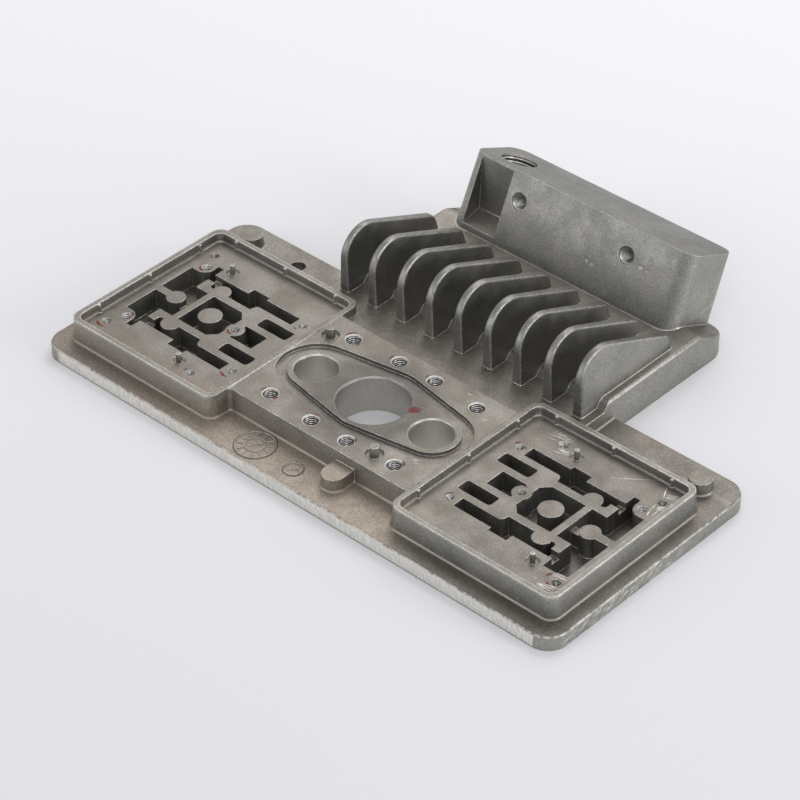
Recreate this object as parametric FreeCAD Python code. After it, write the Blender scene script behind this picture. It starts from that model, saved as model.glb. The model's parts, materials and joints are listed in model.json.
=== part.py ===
import FreeCAD, Part
import math
import os

from FreeCAD import Vector

# A die cast aluminium housing, made as one casting. The middle of the centre bore on
# the machined deck is the origin, +X runs along the flange and +Y towards the fins.
# Places in a pocket are written for the right one, with u measured outwards from the
# middle of the housing, because the left pocket is its mirror image.

# Heights
HOUSING_HEIGHT = 14.0
FLANGE_THICKNESS = 5.5
RIM_PROUD = 0.4
POCKET_DEPTH = 3.3
LABYRINTH_DEPTH = 8.0
GATE_DROP = 2.6
TROUGH_DEPTH = 3.0

DECK = 0.0
UNDERSIDE = DECK - HOUSING_HEIGHT
FLANGE_TOP = UNDERSIDE + FLANGE_THICKNESS
RIM_TOP = DECK + RIM_PROUD
POCKET_FLOOR = DECK - POCKET_DEPTH
LABYRINTH_FLOOR = POCKET_FLOOR - LABYRINTH_DEPTH
GATE_TOP = POCKET_FLOOR - GATE_DROP
TROUGH_FLOOR = DECK - TROUGH_DEPTH

# Draft and the roundings that the die leaves
WALL_DRAFT = 2.5
FIN_DRAFT = 2.07
FOOT_RADIUS = 0.8
FLANGE_EDGE_RADIUS = 0.8

# Deck between the two pocket blocks
DECK_WIDTH = 80.0
DECK_HALF_DEPTH = 27.1
DECK_CORNER_RADIUS = 1.5

# Pocket blocks
BLOCK_LENGTH = 68.5
BLOCK_HALF_DEPTH = 36.3
BLOCK_CORNER_RADIUS = 4.0
RIM_WIDTH = 2.0
POCKET_CORNER_RADIUS = 3.0
BLOCK_INNER_U = DECK_WIDTH / 2
BLOCK_OUTER_U = BLOCK_INNER_U + BLOCK_LENGTH
POCKET_INNER_U = BLOCK_INNER_U + RIM_WIDTH
POCKET_OUTER_U = BLOCK_OUTER_U - RIM_WIDTH
POCKET_HALF_DEPTH = BLOCK_HALF_DEPTH - RIM_WIDTH
POCKET_MIDDLE_U = (POCKET_INNER_U + POCKET_OUTER_U) / 2

# Small bevelled ribs that stiffen the rim
RIB_PROUD = 0.65
RIB_PITCH = 24.1
RIB_TOP_GAP = 0.5

# Base flange under everything
FLANGE_SIDE_MARGIN = 6.1
FLANGE_FRONT_MARGIN = 7.7
FLANGE_BACK_MARGIN = 18.7
FLANGE_FRONT_RADIUS = 7.5
FLANGE_BACK_RADIUS = 8.0
FLANGE_HALF_LENGTH = BLOCK_OUTER_U + FLANGE_SIDE_MARGIN
FLANGE_FRONT = -BLOCK_HALF_DEPTH - FLANGE_FRONT_MARGIN
FLANGE_BACK = BLOCK_HALF_DEPTH + FLANGE_BACK_MARGIN

# Labyrinth, measured from its free round post
POST_OFFSET = 2.65
POST_U = POCKET_MIDDLE_U + POST_OFFSET
POST_RADIUS = 4.3
WEB_CYLINDER_RADIUS = 3.5
WEB_CYLINDER_OFFSET = 12.25
WEB_CYLINDER_FORWARD = 6.9
MIDDLE_WELL_INNER = 9.7
MIDDLE_WELL_OUTER = 7.1
MIDDLE_WELL_HALF_DEPTH = 8.75
MIDDLE_WELL_CHAMFER = 3.1
VERTICAL_WEB = 2.6
HORIZONTAL_WEB = 2.95
CHANNEL_END = 24.15
CHANNEL_STEP = 8.2
CHANNEL_NARROW_INNER = 14.7
CHANNEL_NARROW_OUTER = 19.45
CHANNEL_NOTCH_OUTER = 21.05
CHANNEL_NOTCH_LENGTH = 7.7
CHANNEL_MOUTH_OUTER = 18.05
CHANNEL_STEP_RADIUS = 1.5
END_WELL_OUTER = 25.2
END_WELL_HALF_DEPTH = 15.7
END_WELL_CORNER_RADIUS = 4.0
END_WELL_DEEP_CORNER = 22.35
END_NOTCH_INNER = 15.8
END_NOTCH_WIDTH = 2.6
END_NOTCH_REACH = 22.35
END_POST_FORWARD = 16.5
END_POST_RADIUS = 3.5
END_WEB = 3.0
END_WEB_OFFSET = -0.3
HOOK_LIP = 3.3
HOOK_CHAMFER = 3.3
HOOK_TOP = 14.55
HOOK_BACK_RADIUS = 2.6
SLOT_LENGTH = 13.7
SLOT_WIDTH = 5.2
SLOT_FORWARD = -22.25
SLOT_OFFSET = 9.4
SLOT_CORNER_RADIUS = 1.2
SQUARE_WELL_INNER = 23.7
SQUARE_WELL_OUTER = 13.4
SQUARE_WELL_HALF_DEPTH = 4.05
SCREW_BOSS_FORWARD = -12.2
SCREW_BOSS_RADIUS = 3.4

# Round holes of a pocket floor
SCREW_HOLE_RADIUS = 1.5
SCREW_HOLE_DEPTH = 6.0
DOWEL_HOLE_RADIUS = 1.8
DOWEL_HOLE_DEPTH = 4.5
CORNER_SCREW_FORWARD = 24.3
CORNER_SCREW_OFFSET = 25.9
CORNER_DOWEL_FORWARD = 21.2
CORNER_DOWEL_OFFSET = 19.3
INNER_SCREW_FORWARD = -27.7
INNER_SCREW_OFFSET = 17.0
LONE_HOLE_FORWARD = -18.2
LONE_HOLE_OFFSET = 27.3

# Pins in round moats
POCKET_PIN_RADIUS = 0.9
POCKET_MOAT_RADIUS = 2.4
POCKET_MOAT_DEPTH = 0.7
OUTER_PIN_FORWARD = 12.2
OUTER_PIN_OFFSET = 23.0
INNER_PIN_FORWARD = -10.6
INNER_PIN_OFFSET = 25.2
DECK_PIN_RADIUS = 1.6
DECK_PIN_HEIGHT = 3.3
DECK_MOAT_RADIUS = 3.2
DECK_MOAT_DEPTH = 1.0
DECK_PIN_LEFT = (-35.5, 16.6)
DECK_PIN_RIGHT = (19.4, -20.2)

# Bores and the seal groove round them
CENTRE_BORE_RADIUS = 12.5
SIDE_BORE_RADIUS = 7.5
SIDE_BORE_SPACING = 26.0
BORE_CHAMFER = 0.5
GROOVE_DEPTH = 1.5
GROOVE_WIDTH = 3.8
ISLAND_MIDDLE_RADIUS = 14.4
ISLAND_END_RADIUS = 10.0

# Tapped holes of the deck, M5
DECK_SCREW_RADIUS = 2.5
DECK_SCREW_CHAMFER = 0.4
DECK_SCREW_DEPTH = 11.0
OUTER_SCREW_X = 27.9
OUTER_SCREW_Y = 20.0
MIDDLE_SCREW_X = 8.0
MIDDLE_SCREW_Y = 21.3

# Bosses on the flange
WING_BOSS_RADIUS = 4.1
WING_BOSS_HEIGHT = 4.5
WING_BOSS_SIDE_INSET = 12.9
WING_BOSS_BACK_INSET = 10.0
FRONT_BOSS_X = 13.0
FRONT_BOSS_REACH = 5.6
FRONT_BOSS_RADIUS = 4.1
FRONT_BOSS_HEIGHT = 4.7
WING_HOLE_INSET = 34.5
WING_HOLE_BACK_INSET = 8.8
WING_HOLE_RADIUS = 2.8

# Fins
FIN_COUNT = 9
FIN_PITCH = 13.17
FIN_FOOT_THICKNESS = 4.2
FIN_FRONT_GAP = 14.1
FIN_LENGTH = 46.9
FIN_CREST_RADIUS = 10.2
FIN_END_RADIUS = 4.0
FIN_SLOPE = 23.3
FIN_END_LEAN = 15.0
FIN_PEAK = 25.6
FIN_EDGE_RADIUS = 0.8
FIN_FRONT = DECK_HALF_DEPTH + FIN_FRONT_GAP
FIN_END = FIN_FRONT + FIN_LENGTH

# Fin plate behind the trough
PLATE_MARGIN = 5.4
PLATE_HALF_WIDTH = (FIN_COUNT - 1) / 2 * FIN_PITCH + PLATE_MARGIN
RAMP_START = 7.6
RAMP_LENGTH = 3.7
RAMP_KNEE = 1.9
RAMP_KNEE_DROP = 0.5
RAMP_RADIUS = 1.0
PLATE_CORNER_RADIUS = 9.5
PLATE_EDGE_RADIUS = 1.2

# Leaning block, in its own frame: x, w into the block and t up along the lean
LEAN = 24.65
LEANING_GAP = 5.2
LEANING_LEFT = -50.0
LEANING_WIDTH = 98.8
LEANING_END_DRAFT = 1.5
LEANING_THICKNESS = 26.5
LEANING_HEIGHT = 28.35
LEANING_CORNER_RADIUS = 6.0
LEANING_FRONT = FIN_END + LEANING_GAP
SHOULDER_GAP = 5.9
SHOULDER_DEPTH = 17.5
SHOULDER_RADIUS = 4.0
SHOULDER_START = LEANING_FRONT + SHOULDER_GAP
PLATE_BACK = SHOULDER_START + SHOULDER_DEPTH
RECESS_END_WALL = 4.8
RECESS_WIDTH = 14.7
RECESS_FOOT = 2.3
RECESS_RAMP = 5.3
RECESS_DEPTH = 7.5
RECESS_TOP_GAP = 0.85
PORT_RADIUS = 6.58
PORT_CHAMFER = 0.5
PORT_DEPTH = 11.0
PORT_INSET = 11.8
PORT_BACK = 12.5
BLOCK_SCREW_RADIUS = 3.0
BLOCK_SCREW_CHAMFER = 0.25
BLOCK_SCREW_DEPTH = 12.0
BLOCK_SCREW_INSET = 25.2
BLOCK_SCREW_SPACING = 48.4
BLOCK_SCREW_HEIGHT = 18.3

# Length by which a tool or a foot runs past the face it meets
OVERRUN = 1.0


def rounded_wire(corners):
    """Closed outline through corners given as (point, radius), round where radius > 0."""
    edges = []
    last = None
    first = None
    count = len(corners)
    for index in range(count):
        point, radius = corners[index]
        before = corners[index - 1][0]
        after = corners[(index + 1) % count][0]
        start = point
        end = point
        if radius > 0:
            to_before = (before - point).normalize()
            to_after = (after - point).normalize()
            half_angle = to_before.getAngle(to_after) / 2
            reach = radius / math.tan(half_angle)
            start = point + to_before * reach
            end = point + to_after * reach
            centre = point + (to_before + to_after).normalize() * (radius / math.sin(half_angle))
            middle = centre + (point - centre).normalize() * radius
        if last is None:
            first = start
        elif last.distanceToPoint(start) > 1e-6:
            edges.append(Part.makeLine(last, start))
        if radius > 0:
            edges.append(Part.Arc(start, middle, end).toShape())
        last = end
    if last.distanceToPoint(first) > 1e-6:
        edges.append(Part.makeLine(last, first))
    return Part.Wire(edges)


def flat_corners(corners, z):
    """Corners (x, y) or (x, y, radius) as points at one height."""
    points = []
    for corner in corners:
        radius = corner[2] if len(corner) == 3 else 0.0
        points.append((Vector(corner[0], corner[1], z), radius))
    return points


def prism(corners, bottom, top):
    """Upright solid with a flat outline."""
    face = Part.Face(rounded_wire(flat_corners(corners, bottom)))
    return face.extrude(Vector(0, 0, top - bottom))


def box(x_range, y_range, z_range):
    size = (x_range[1] - x_range[0], y_range[1] - y_range[0], z_range[1] - z_range[0])
    return Part.makeBox(*size, Vector(x_range[0], y_range[0], z_range[0]))


def rounded_rectangle(x_range, y_range, radius):
    x0, x1 = x_range
    y0, y1 = y_range
    return [(x0, y0, radius), (x1, y0, radius), (x1, y1, radius), (x0, y1, radius)]


def tapered_box(lower, foot, upper, top):
    """Solid with flat leaning sides between two level rectangles (x_range, y_range)."""
    (x0, x1), (y0, y1) = lower
    (top_x0, top_x1), (top_y0, top_y1) = upper
    wedge = Part.makeWedge(x0, foot, -y1, -top_y1, top_x0, x1, top, -y0, -top_y0, top_x1)
    wedge.rotate(Vector(0, 0, 0), Vector(1, 0, 0), 90)
    return wedge


def round_corners(body, radius):
    """Round the four upright corners of a block."""
    height = body.BoundBox.ZLength
    corners = [edge for edge in body.Edges if edge.BoundBox.ZLength > 0.9 * height]
    return body.makeFillet(radius, corners)


def drafted_block(x_range, y_range, radius, top, foot):
    """Rounded block whose walls lean out by the draft angle towards the foot."""
    spread = (top - foot) * math.tan(math.radians(WALL_DRAFT))
    wide_x = (x_range[0] - spread, x_range[1] + spread)
    wide_y = (y_range[0] - spread, y_range[1] + spread)
    return round_corners(tapered_box((wide_x, wide_y), foot, (x_range, y_range), top), radius)


def drafted_boss(x, y, radius, foot, height):
    """Round boss, a little wider at its foot, rooted in the face it stands on."""
    spread = height * math.tan(math.radians(WALL_DRAFT))
    boss = Part.makeCone(radius + spread, radius, height, Vector(x, y, foot))
    return boss.fuse(cylinder(x, y, radius, foot - OVERRUN, foot))


def cylinder(x, y, radius, bottom, top):
    return Part.makeCylinder(radius, top - bottom, Vector(x, y, bottom))


def cored_hole(radius, depth, chamfer):
    """Cutting tool for a hole: its mouth at the origin, the hole going down from there."""
    outline = [
        Vector(0, 0, OVERRUN),
        Vector(radius + chamfer, 0, OVERRUN),
        Vector(radius + chamfer, 0, 0),
        Vector(radius, 0, -chamfer),
        Vector(radius, 0, -depth),
        Vector(0, 0, -depth),
    ]
    face = Part.Face(rounded_wire([(place, 0.0) for place in outline]))
    return face.revolve(Vector(0, 0, 0), Vector(0, 0, 1), 360)


def placed(tool, position, direction=Vector(0, 0, 1)):
    """Copy of a tool with its mouth at the position, facing the direction."""
    copy = tool.copy()
    turn = FreeCAD.Rotation(Vector(0, 0, 1), direction)
    copy.Placement = FreeCAD.Placement(position, turn)
    return copy


def mirrored(shape):
    return shape.mirror(Vector(0, 0, 0), Vector(1, 0, 0))


def on_both_sides(shape):
    return [shape, mirrored(shape)]


def edges_at_height(shape, z, inside):
    """Edges that lie flat at one height and whose middle passes the test."""
    found = []
    for edge in shape.Edges:
        bounds = edge.BoundBox
        if abs(bounds.ZMin - z) > 1e-4 or abs(bounds.ZMax - z) > 1e-4:
            continue
        middle = edge.valueAt((edge.FirstParameter + edge.LastParameter) / 2)
        if inside(middle):
            found.append(edge)
    return found


def flange():
    """Base plate with a rounded outline and a softened top edge."""
    outline = [
        (-FLANGE_HALF_LENGTH, FLANGE_FRONT, FLANGE_FRONT_RADIUS),
        (FLANGE_HALF_LENGTH, FLANGE_FRONT, FLANGE_FRONT_RADIUS),
        (FLANGE_HALF_LENGTH, FLANGE_BACK, FLANGE_BACK_RADIUS),
        (-FLANGE_HALF_LENGTH, FLANGE_BACK, FLANGE_BACK_RADIUS),
    ]
    plate = prism(outline, UNDERSIDE, FLANGE_TOP)
    rim = edges_at_height(plate, FLANGE_TOP, lambda middle: True)
    return plate.makeFillet(FLANGE_EDGE_RADIUS, rim)


def raised_blocks():
    """The two pocket blocks and the deck between them, before anything is cut."""
    block = drafted_block(
        (BLOCK_INNER_U, BLOCK_OUTER_U),
        (-BLOCK_HALF_DEPTH, BLOCK_HALF_DEPTH),
        BLOCK_CORNER_RADIUS,
        RIM_TOP,
        FLANGE_TOP,
    )
    footing = prism(
        rounded_rectangle(
            (BLOCK_INNER_U, BLOCK_OUTER_U),
            (-BLOCK_HALF_DEPTH, BLOCK_HALF_DEPTH),
            BLOCK_CORNER_RADIUS,
        ),
        UNDERSIDE,
        FLANGE_TOP,
    )
    return on_both_sides(block.fuse(footing))


def deck():
    """Deck pad with a drafted front wall, run into the pocket blocks at its ends."""
    spread = (DECK - FLANGE_TOP) * math.tan(math.radians(WALL_DRAFT))
    end = BLOCK_INNER_U + RIM_WIDTH / 2
    profile = [
        (Vector(-end, -DECK_HALF_DEPTH, DECK), 0.0),
        (Vector(-end, DECK_HALF_DEPTH, DECK), 0.0),
        (Vector(-end, DECK_HALF_DEPTH, UNDERSIDE), 0.0),
        (Vector(-end, -DECK_HALF_DEPTH - spread, UNDERSIDE), 0.0),
        (Vector(-end, -DECK_HALF_DEPTH - spread, FLANGE_TOP), 0.0),
    ]
    return Part.Face(rounded_wire(profile)).extrude(Vector(2 * end, 0, 0))


def fin_plate():
    """Trough behind the deck, the ramp out of it and the plate that carries the fins."""
    trough_front = DECK_HALF_DEPTH - OVERRUN
    ramp_start = FIN_FRONT + RAMP_START
    shoulder_drop = SHOULDER_DEPTH * math.tan(math.radians(LEAN))
    profile = [
        (Vector(0, trough_front, UNDERSIDE), 0.0),
        (Vector(0, trough_front, TROUGH_FLOOR), 0.0),
        (Vector(0, ramp_start, TROUGH_FLOOR), RAMP_RADIUS),
        (Vector(0, ramp_start + RAMP_KNEE, DECK - RAMP_KNEE_DROP), RAMP_RADIUS),
        (Vector(0, ramp_start + RAMP_LENGTH, DECK), 0.0),
        (Vector(0, SHOULDER_START, DECK), SHOULDER_RADIUS),
        (Vector(0, PLATE_BACK, DECK - shoulder_drop), 0.0),
        (Vector(0, PLATE_BACK, UNDERSIDE), 0.0),
    ]
    side = Part.Face(rounded_wire(profile))
    side.translate(Vector(-PLATE_HALF_WIDTH, 0, 0))
    body = side.extrude(Vector(2 * PLATE_HALF_WIDTH, 0, 0))
    neck = BLOCK_INNER_U + RIM_WIDTH / 2
    shoulder = BLOCK_HALF_DEPTH - RIM_WIDTH / 2
    outline = [
        (-neck, trough_front),
        (neck, trough_front),
        (neck, shoulder),
        (PLATE_HALF_WIDTH, shoulder),
        (PLATE_HALF_WIDTH, PLATE_BACK, PLATE_CORNER_RADIUS),
        (-PLATE_HALF_WIDTH, PLATE_BACK, PLATE_CORNER_RADIUS),
        (-PLATE_HALF_WIDTH, shoulder),
        (-neck, shoulder),
    ]
    plate = body.common(prism(outline, UNDERSIDE, DECK))
    behind_ramp = ramp_start + RAMP_LENGTH
    rim = [edge for edge in plate.Edges if on_rim(edge, behind_ramp)]
    return plate.makeFillet(PLATE_EDGE_RADIUS, rim)


def on_rim(edge, front):
    """True for the plate's upper edges behind a line: its sides, round corners and back."""
    bounds = edge.BoundBox
    high = bounds.ZMin > UNDERSIDE + OVERRUN
    crosses = bounds.XLength > PLATE_HALF_WIDTH and bounds.YMax < PLATE_BACK - OVERRUN
    return high and not crosses and bounds.YMin > front - 1e-3 and bounds.YMax > front + 1e-3


def fin():
    """One cooling fin: a sloping crest, drafted sides and rounded edges."""
    slope = math.tan(math.radians(FIN_SLOPE))
    lean = math.tan(math.radians(FIN_END_LEAN))
    root = TROUGH_FLOOR - OVERRUN
    crest_end = (FIN_PEAK - slope * FIN_LENGTH) / (1 - slope * lean)
    profile = [
        (Vector(0, FIN_FRONT, root), 0.0),
        (Vector(0, FIN_FRONT, FIN_PEAK), FIN_CREST_RADIUS),
        (Vector(0, FIN_END - lean * crest_end, crest_end), FIN_END_RADIUS),
        (Vector(0, FIN_END - lean * root, root), 0.0),
    ]
    half_foot = FIN_FOOT_THICKNESS / 2
    side = Part.Face(rounded_wire(profile))
    side.translate(Vector(-2 * half_foot, 0, 0))
    blade = side.extrude(Vector(4 * half_foot, 0, 0))
    draft = math.tan(math.radians(FIN_DRAFT))
    root_half = half_foot + OVERRUN * draft
    peak_half = half_foot - (FIN_PEAK - TROUGH_FLOOR) * draft
    wedge_section = [
        (Vector(-root_half, FIN_FRONT - OVERRUN, root), 0.0),
        (Vector(root_half, FIN_FRONT - OVERRUN, root), 0.0),
        (Vector(peak_half, FIN_FRONT - OVERRUN, FIN_PEAK), 0.0),
        (Vector(-peak_half, FIN_FRONT - OVERRUN, FIN_PEAK), 0.0),
    ]
    wedge = Part.Face(rounded_wire(wedge_section)).extrude(Vector(0, FIN_LENGTH + 3 * OVERRUN, 0))
    blade = blade.common(wedge)
    rounded = [edge for edge in blade.Edges if along_side(edge)]
    return blade.makeFillet(FIN_EDGE_RADIUS, rounded)


def along_side(edge):
    """True for the edges round a fin's side, but not for its root or straight crossings."""
    bounds = edge.BoundBox
    flat_at_root = bounds.ZMax < TROUGH_FLOOR
    crosses = bounds.YLength < 1e-4 and bounds.ZLength < 1e-4
    return not (flat_at_root or crosses)


def fins():
    blade = fin()
    row = []
    for index in range(FIN_COUNT):
        copy = blade.copy()
        copy.translate(Vector((index - (FIN_COUNT - 1) / 2) * FIN_PITCH, 0, 0))
        row.append(copy)
    return row


def leaning_block():
    """Block at the back edge, with its end recess, threaded port and two screw holes."""
    right = LEANING_LEFT + LEANING_WIDTH
    foot = UNDERSIDE / math.cos(math.radians(LEAN)) - OVERRUN
    spread = (LEANING_HEIGHT - foot) * math.tan(math.radians(LEANING_END_DRAFT))
    depth = (0, LEANING_THICKNESS)
    lower = ((LEANING_LEFT - spread, right + spread), depth)
    upper = ((LEANING_LEFT, right), depth)
    block = tapered_box(lower, foot, upper, LEANING_HEIGHT)
    block = round_corners(block, LEANING_CORNER_RADIUS)
    cuts = [end_recess(), threaded_port()]
    screw = cored_hole(BLOCK_SCREW_RADIUS, BLOCK_SCREW_DEPTH, BLOCK_SCREW_CHAMFER)
    for step in (0, 1):
        x = LEANING_LEFT + BLOCK_SCREW_INSET + step * BLOCK_SCREW_SPACING
        cuts.append(placed(screw, Vector(x, 0, BLOCK_SCREW_HEIGHT), Vector(0, -1, 0)))
    block = block.cut(cuts)
    block.Placement = FreeCAD.Placement(
        Vector(0, LEANING_FRONT, DECK), FreeCAD.Rotation(Vector(1, 0, 0), -LEAN)
    )
    reach = LEANING_HEIGHT + LEANING_THICKNESS
    ground = box(
        (LEANING_LEFT - reach, right + reach),
        (LEANING_FRONT - reach, LEANING_FRONT + 2 * reach),
        (UNDERSIDE - reach, UNDERSIDE),
    )
    return block.cut(ground)


def end_recess():
    """Recess at the left end: an almost upright back wall that runs out below the top."""
    left = LEANING_LEFT + RECESS_END_WALL
    ceiling = LEANING_HEIGHT - RECESS_TOP_GAP
    profile = [
        (Vector(left, -OVERRUN, RECESS_FOOT), 0.0),
        (Vector(left, 0, RECESS_FOOT), 0.0),
        (Vector(left, RECESS_DEPTH, RECESS_FOOT + RECESS_RAMP), 0.0),
        (Vector(left, 0, ceiling), 0.0),
        (Vector(left, -OVERRUN, ceiling), 0.0),
    ]
    return Part.Face(rounded_wire(profile)).extrude(Vector(RECESS_WIDTH, 0, 0))


def threaded_port():
    port = cored_hole(PORT_RADIUS, PORT_DEPTH, PORT_CHAMFER)
    return placed(port, Vector(LEANING_LEFT + PORT_INSET, PORT_BACK, LEANING_HEIGHT))


def flange_bosses():
    """Two round bosses on the wings and one that grows out of the deck's front wall."""
    x = FLANGE_HALF_LENGTH - WING_BOSS_SIDE_INSET
    y = FLANGE_BACK - WING_BOSS_BACK_INSET
    wing = drafted_boss(x, y, WING_BOSS_RADIUS, FLANGE_TOP, WING_BOSS_HEIGHT)
    front_y = -DECK_HALF_DEPTH - FRONT_BOSS_REACH
    front = drafted_boss(FRONT_BOSS_X, front_y, FRONT_BOSS_RADIUS, FLANGE_TOP, FRONT_BOSS_HEIGHT)
    bridge = box(
        (FRONT_BOSS_X - FRONT_BOSS_RADIUS, FRONT_BOSS_X + FRONT_BOSS_RADIUS),
        (front_y, -DECK_HALF_DEPTH + OVERRUN),
        (FLANGE_TOP - OVERRUN, FLANGE_TOP + FRONT_BOSS_HEIGHT),
    )
    return on_both_sides(wing) + [front, bridge]


def pocket_recess():
    """Shallow pocket of one block, with a rounded foot to its walls."""
    recess = prism(
        rounded_rectangle(
            (POCKET_INNER_U, POCKET_OUTER_U),
            (-POCKET_HALF_DEPTH, POCKET_HALF_DEPTH),
            POCKET_CORNER_RADIUS,
        ),
        POCKET_FLOOR,
        RIM_TOP + OVERRUN,
    )
    foot = edges_at_height(recess, POCKET_FLOOR, lambda middle: True)
    return recess.makeFillet(FOOT_RADIUS, foot)


def rim_ribs():
    """Bevelled ribs standing on the pocket floor against the rim."""
    top = RIM_TOP - RIB_TOP_GAP
    outline = [
        (-RIB_PROUD, -RIB_PROUD),
        (RIB_PROUD, -RIB_PROUD),
        (RIB_PROUD, 0),
        (RIB_PROUD / 2, RIB_PROUD),
        (-RIB_PROUD / 2, RIB_PROUD),
        (-RIB_PROUD, 0),
    ]
    rib = prism(outline, POCKET_FLOOR - OVERRUN, top)
    ribs = []
    for step in (-1, 0, 1):
        along = step * RIB_PITCH
        walls = [
            (POCKET_MIDDLE_U + along, -POCKET_HALF_DEPTH, 0),
            (POCKET_OUTER_U, along, 90),
            (POCKET_MIDDLE_U + along, POCKET_HALF_DEPTH, 180),
            (POCKET_INNER_U, along, 270),
        ]
        for u, y, turn in walls:
            turned = rib.copy()
            turned.rotate(Vector(0, 0, 0), Vector(0, 0, 1), turn)
            turned.translate(Vector(u, y, 0))
            ribs.append(turned)
    return ribs


def channel(side):
    """One long channel of the labyrinth; side is +1 at the back and -1 at the front."""
    inner = MIDDLE_WELL_HALF_DEPTH + HORIZONTAL_WEB
    step_u = POST_U - CHANNEL_STEP
    notch_end = step_u + CHANNEL_NOTCH_LENGTH
    mouth = POST_U + END_NOTCH_INNER
    end = POST_U - CHANNEL_END
    outline = [
        (end, side * CHANNEL_NARROW_INNER),
        (step_u, side * CHANNEL_NARROW_INNER, CHANNEL_STEP_RADIUS),
        (step_u + CHANNEL_STEP_RADIUS / 2, side * inner),
        (mouth, side * inner),
        (mouth, side * CHANNEL_MOUTH_OUTER),
        (notch_end, side * CHANNEL_MOUTH_OUTER),
        (notch_end, side * CHANNEL_NOTCH_OUTER),
        (step_u, side * CHANNEL_NOTCH_OUTER),
        (step_u, side * CHANNEL_NARROW_OUTER),
        (end, side * CHANNEL_NARROW_OUTER),
    ]
    return prism(outline, LABYRINTH_FLOOR, POCKET_FLOOR + OVERRUN)


def end_well(front_corner_cut):
    """Wide well at the outer end. The right pocket's front corner is cut square."""
    inner = POST_U + MIDDLE_WELL_OUTER + VERTICAL_WEB
    outer = POST_U + END_WELL_OUTER
    notch_in = POST_U + END_NOTCH_INNER
    notch_out = notch_in + END_NOTCH_WIDTH
    outline = [
        (inner, -MIDDLE_WELL_HALF_DEPTH),
        (notch_in, -MIDDLE_WELL_HALF_DEPTH),
        (notch_in, -END_NOTCH_REACH),
    ]
    if front_corner_cut:
        outline += [(outer, -END_WELL_DEEP_CORNER)]
    else:
        outline += [
            (notch_out, -END_NOTCH_REACH),
            (notch_out, -END_WELL_HALF_DEPTH, END_WELL_CORNER_RADIUS),
            (outer, -END_WELL_HALF_DEPTH),
        ]
    outline += [
        (outer, END_WELL_HALF_DEPTH),
        (notch_out, END_WELL_HALF_DEPTH, END_WELL_CORNER_RADIUS),
        (notch_out, END_NOTCH_REACH),
        (notch_in, END_NOTCH_REACH),
        (notch_in, MIDDLE_WELL_HALF_DEPTH),
        (inner, MIDDLE_WELL_HALF_DEPTH),
    ]
    return prism(outline, LABYRINTH_FLOOR, POCKET_FLOOR + OVERRUN)


def middle_well():
    inner = POST_U - MIDDLE_WELL_INNER
    outer = POST_U + MIDDLE_WELL_OUTER
    half = MIDDLE_WELL_HALF_DEPTH
    cut = MIDDLE_WELL_CHAMFER
    outline = [
        (inner, -half + cut),
        (inner + cut, -half),
        (outer, -half),
        (outer, half),
        (inner + cut, half),
        (inner, half - cut),
    ]
    return prism(outline, LABYRINTH_FLOOR, POCKET_FLOOR + OVERRUN)


def small_wells():
    """The square well and the two round cornered slots beside it."""
    top = POCKET_FLOOR + OVERRUN
    wells = [
        box(
            (POST_U - SQUARE_WELL_INNER, POST_U - SQUARE_WELL_OUTER),
            (-SQUARE_WELL_HALF_DEPTH, SQUARE_WELL_HALF_DEPTH),
            (LABYRINTH_FLOOR, top),
        )
    ]
    middle = POST_U + SLOT_FORWARD
    for side in (-1, 1):
        centre = side * SLOT_OFFSET
        outline = rounded_rectangle(
            (middle - SLOT_LENGTH / 2, middle + SLOT_LENGTH / 2),
            (centre - SLOT_WIDTH / 2, centre + SLOT_WIDTH / 2),
            SLOT_CORNER_RADIUS,
        )
        wells.append(prism(outline, LABYRINTH_FLOOR, top))
    return wells


def hook(side):
    """Hook at the end of a web, which narrows the way from the channel to the end well."""
    web_face = side * MIDDLE_WELL_HALF_DEPTH
    channel_face = side * (MIDDLE_WELL_HALF_DEPTH + HORIZONTAL_WEB)
    outer = POST_U + END_NOTCH_INNER
    tip = side * HOOK_TOP
    lip = outer - HOOK_LIP
    root = POST_U + MIDDLE_WELL_OUTER
    if side > 0:
        face = [
            (outer - HOOK_CHAMFER, web_face),
            (outer, web_face + side * HOOK_CHAMFER),
            (outer, tip),
        ]
    else:
        face = [
            (outer, web_face, HOOK_CHAMFER),
            (outer, tip),
        ]
    back = [
        (lip, tip),
        (lip, channel_face, HOOK_BACK_RADIUS / 2),
        (root, channel_face),
        (root, web_face),
    ]
    return prism(face + back, LABYRINTH_FLOOR - OVERRUN, POCKET_FLOOR)


def gates():
    """Low gates between the channels, the end well and the end post."""
    foot = LABYRINTH_FLOOR - OVERRUN
    outer = POST_U + END_NOTCH_INNER
    web_face = POST_U + MIDDLE_WELL_OUTER + VERTICAL_WEB - OVERRUN / 2
    bars = [box((web_face, POST_U + END_POST_FORWARD), end_web_range(), (foot, GATE_TOP))]
    for side in (-1, 1):
        y_range = sorted((side * (HOOK_TOP - OVERRUN), side * (CHANNEL_MOUTH_OUTER + OVERRUN)))
        bars.append(box((outer - HOOK_LIP, outer), y_range, (foot, GATE_TOP)))
    return bars


def end_web_range():
    return (END_WEB_OFFSET - END_WEB / 2, END_WEB_OFFSET + END_WEB / 2)


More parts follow.
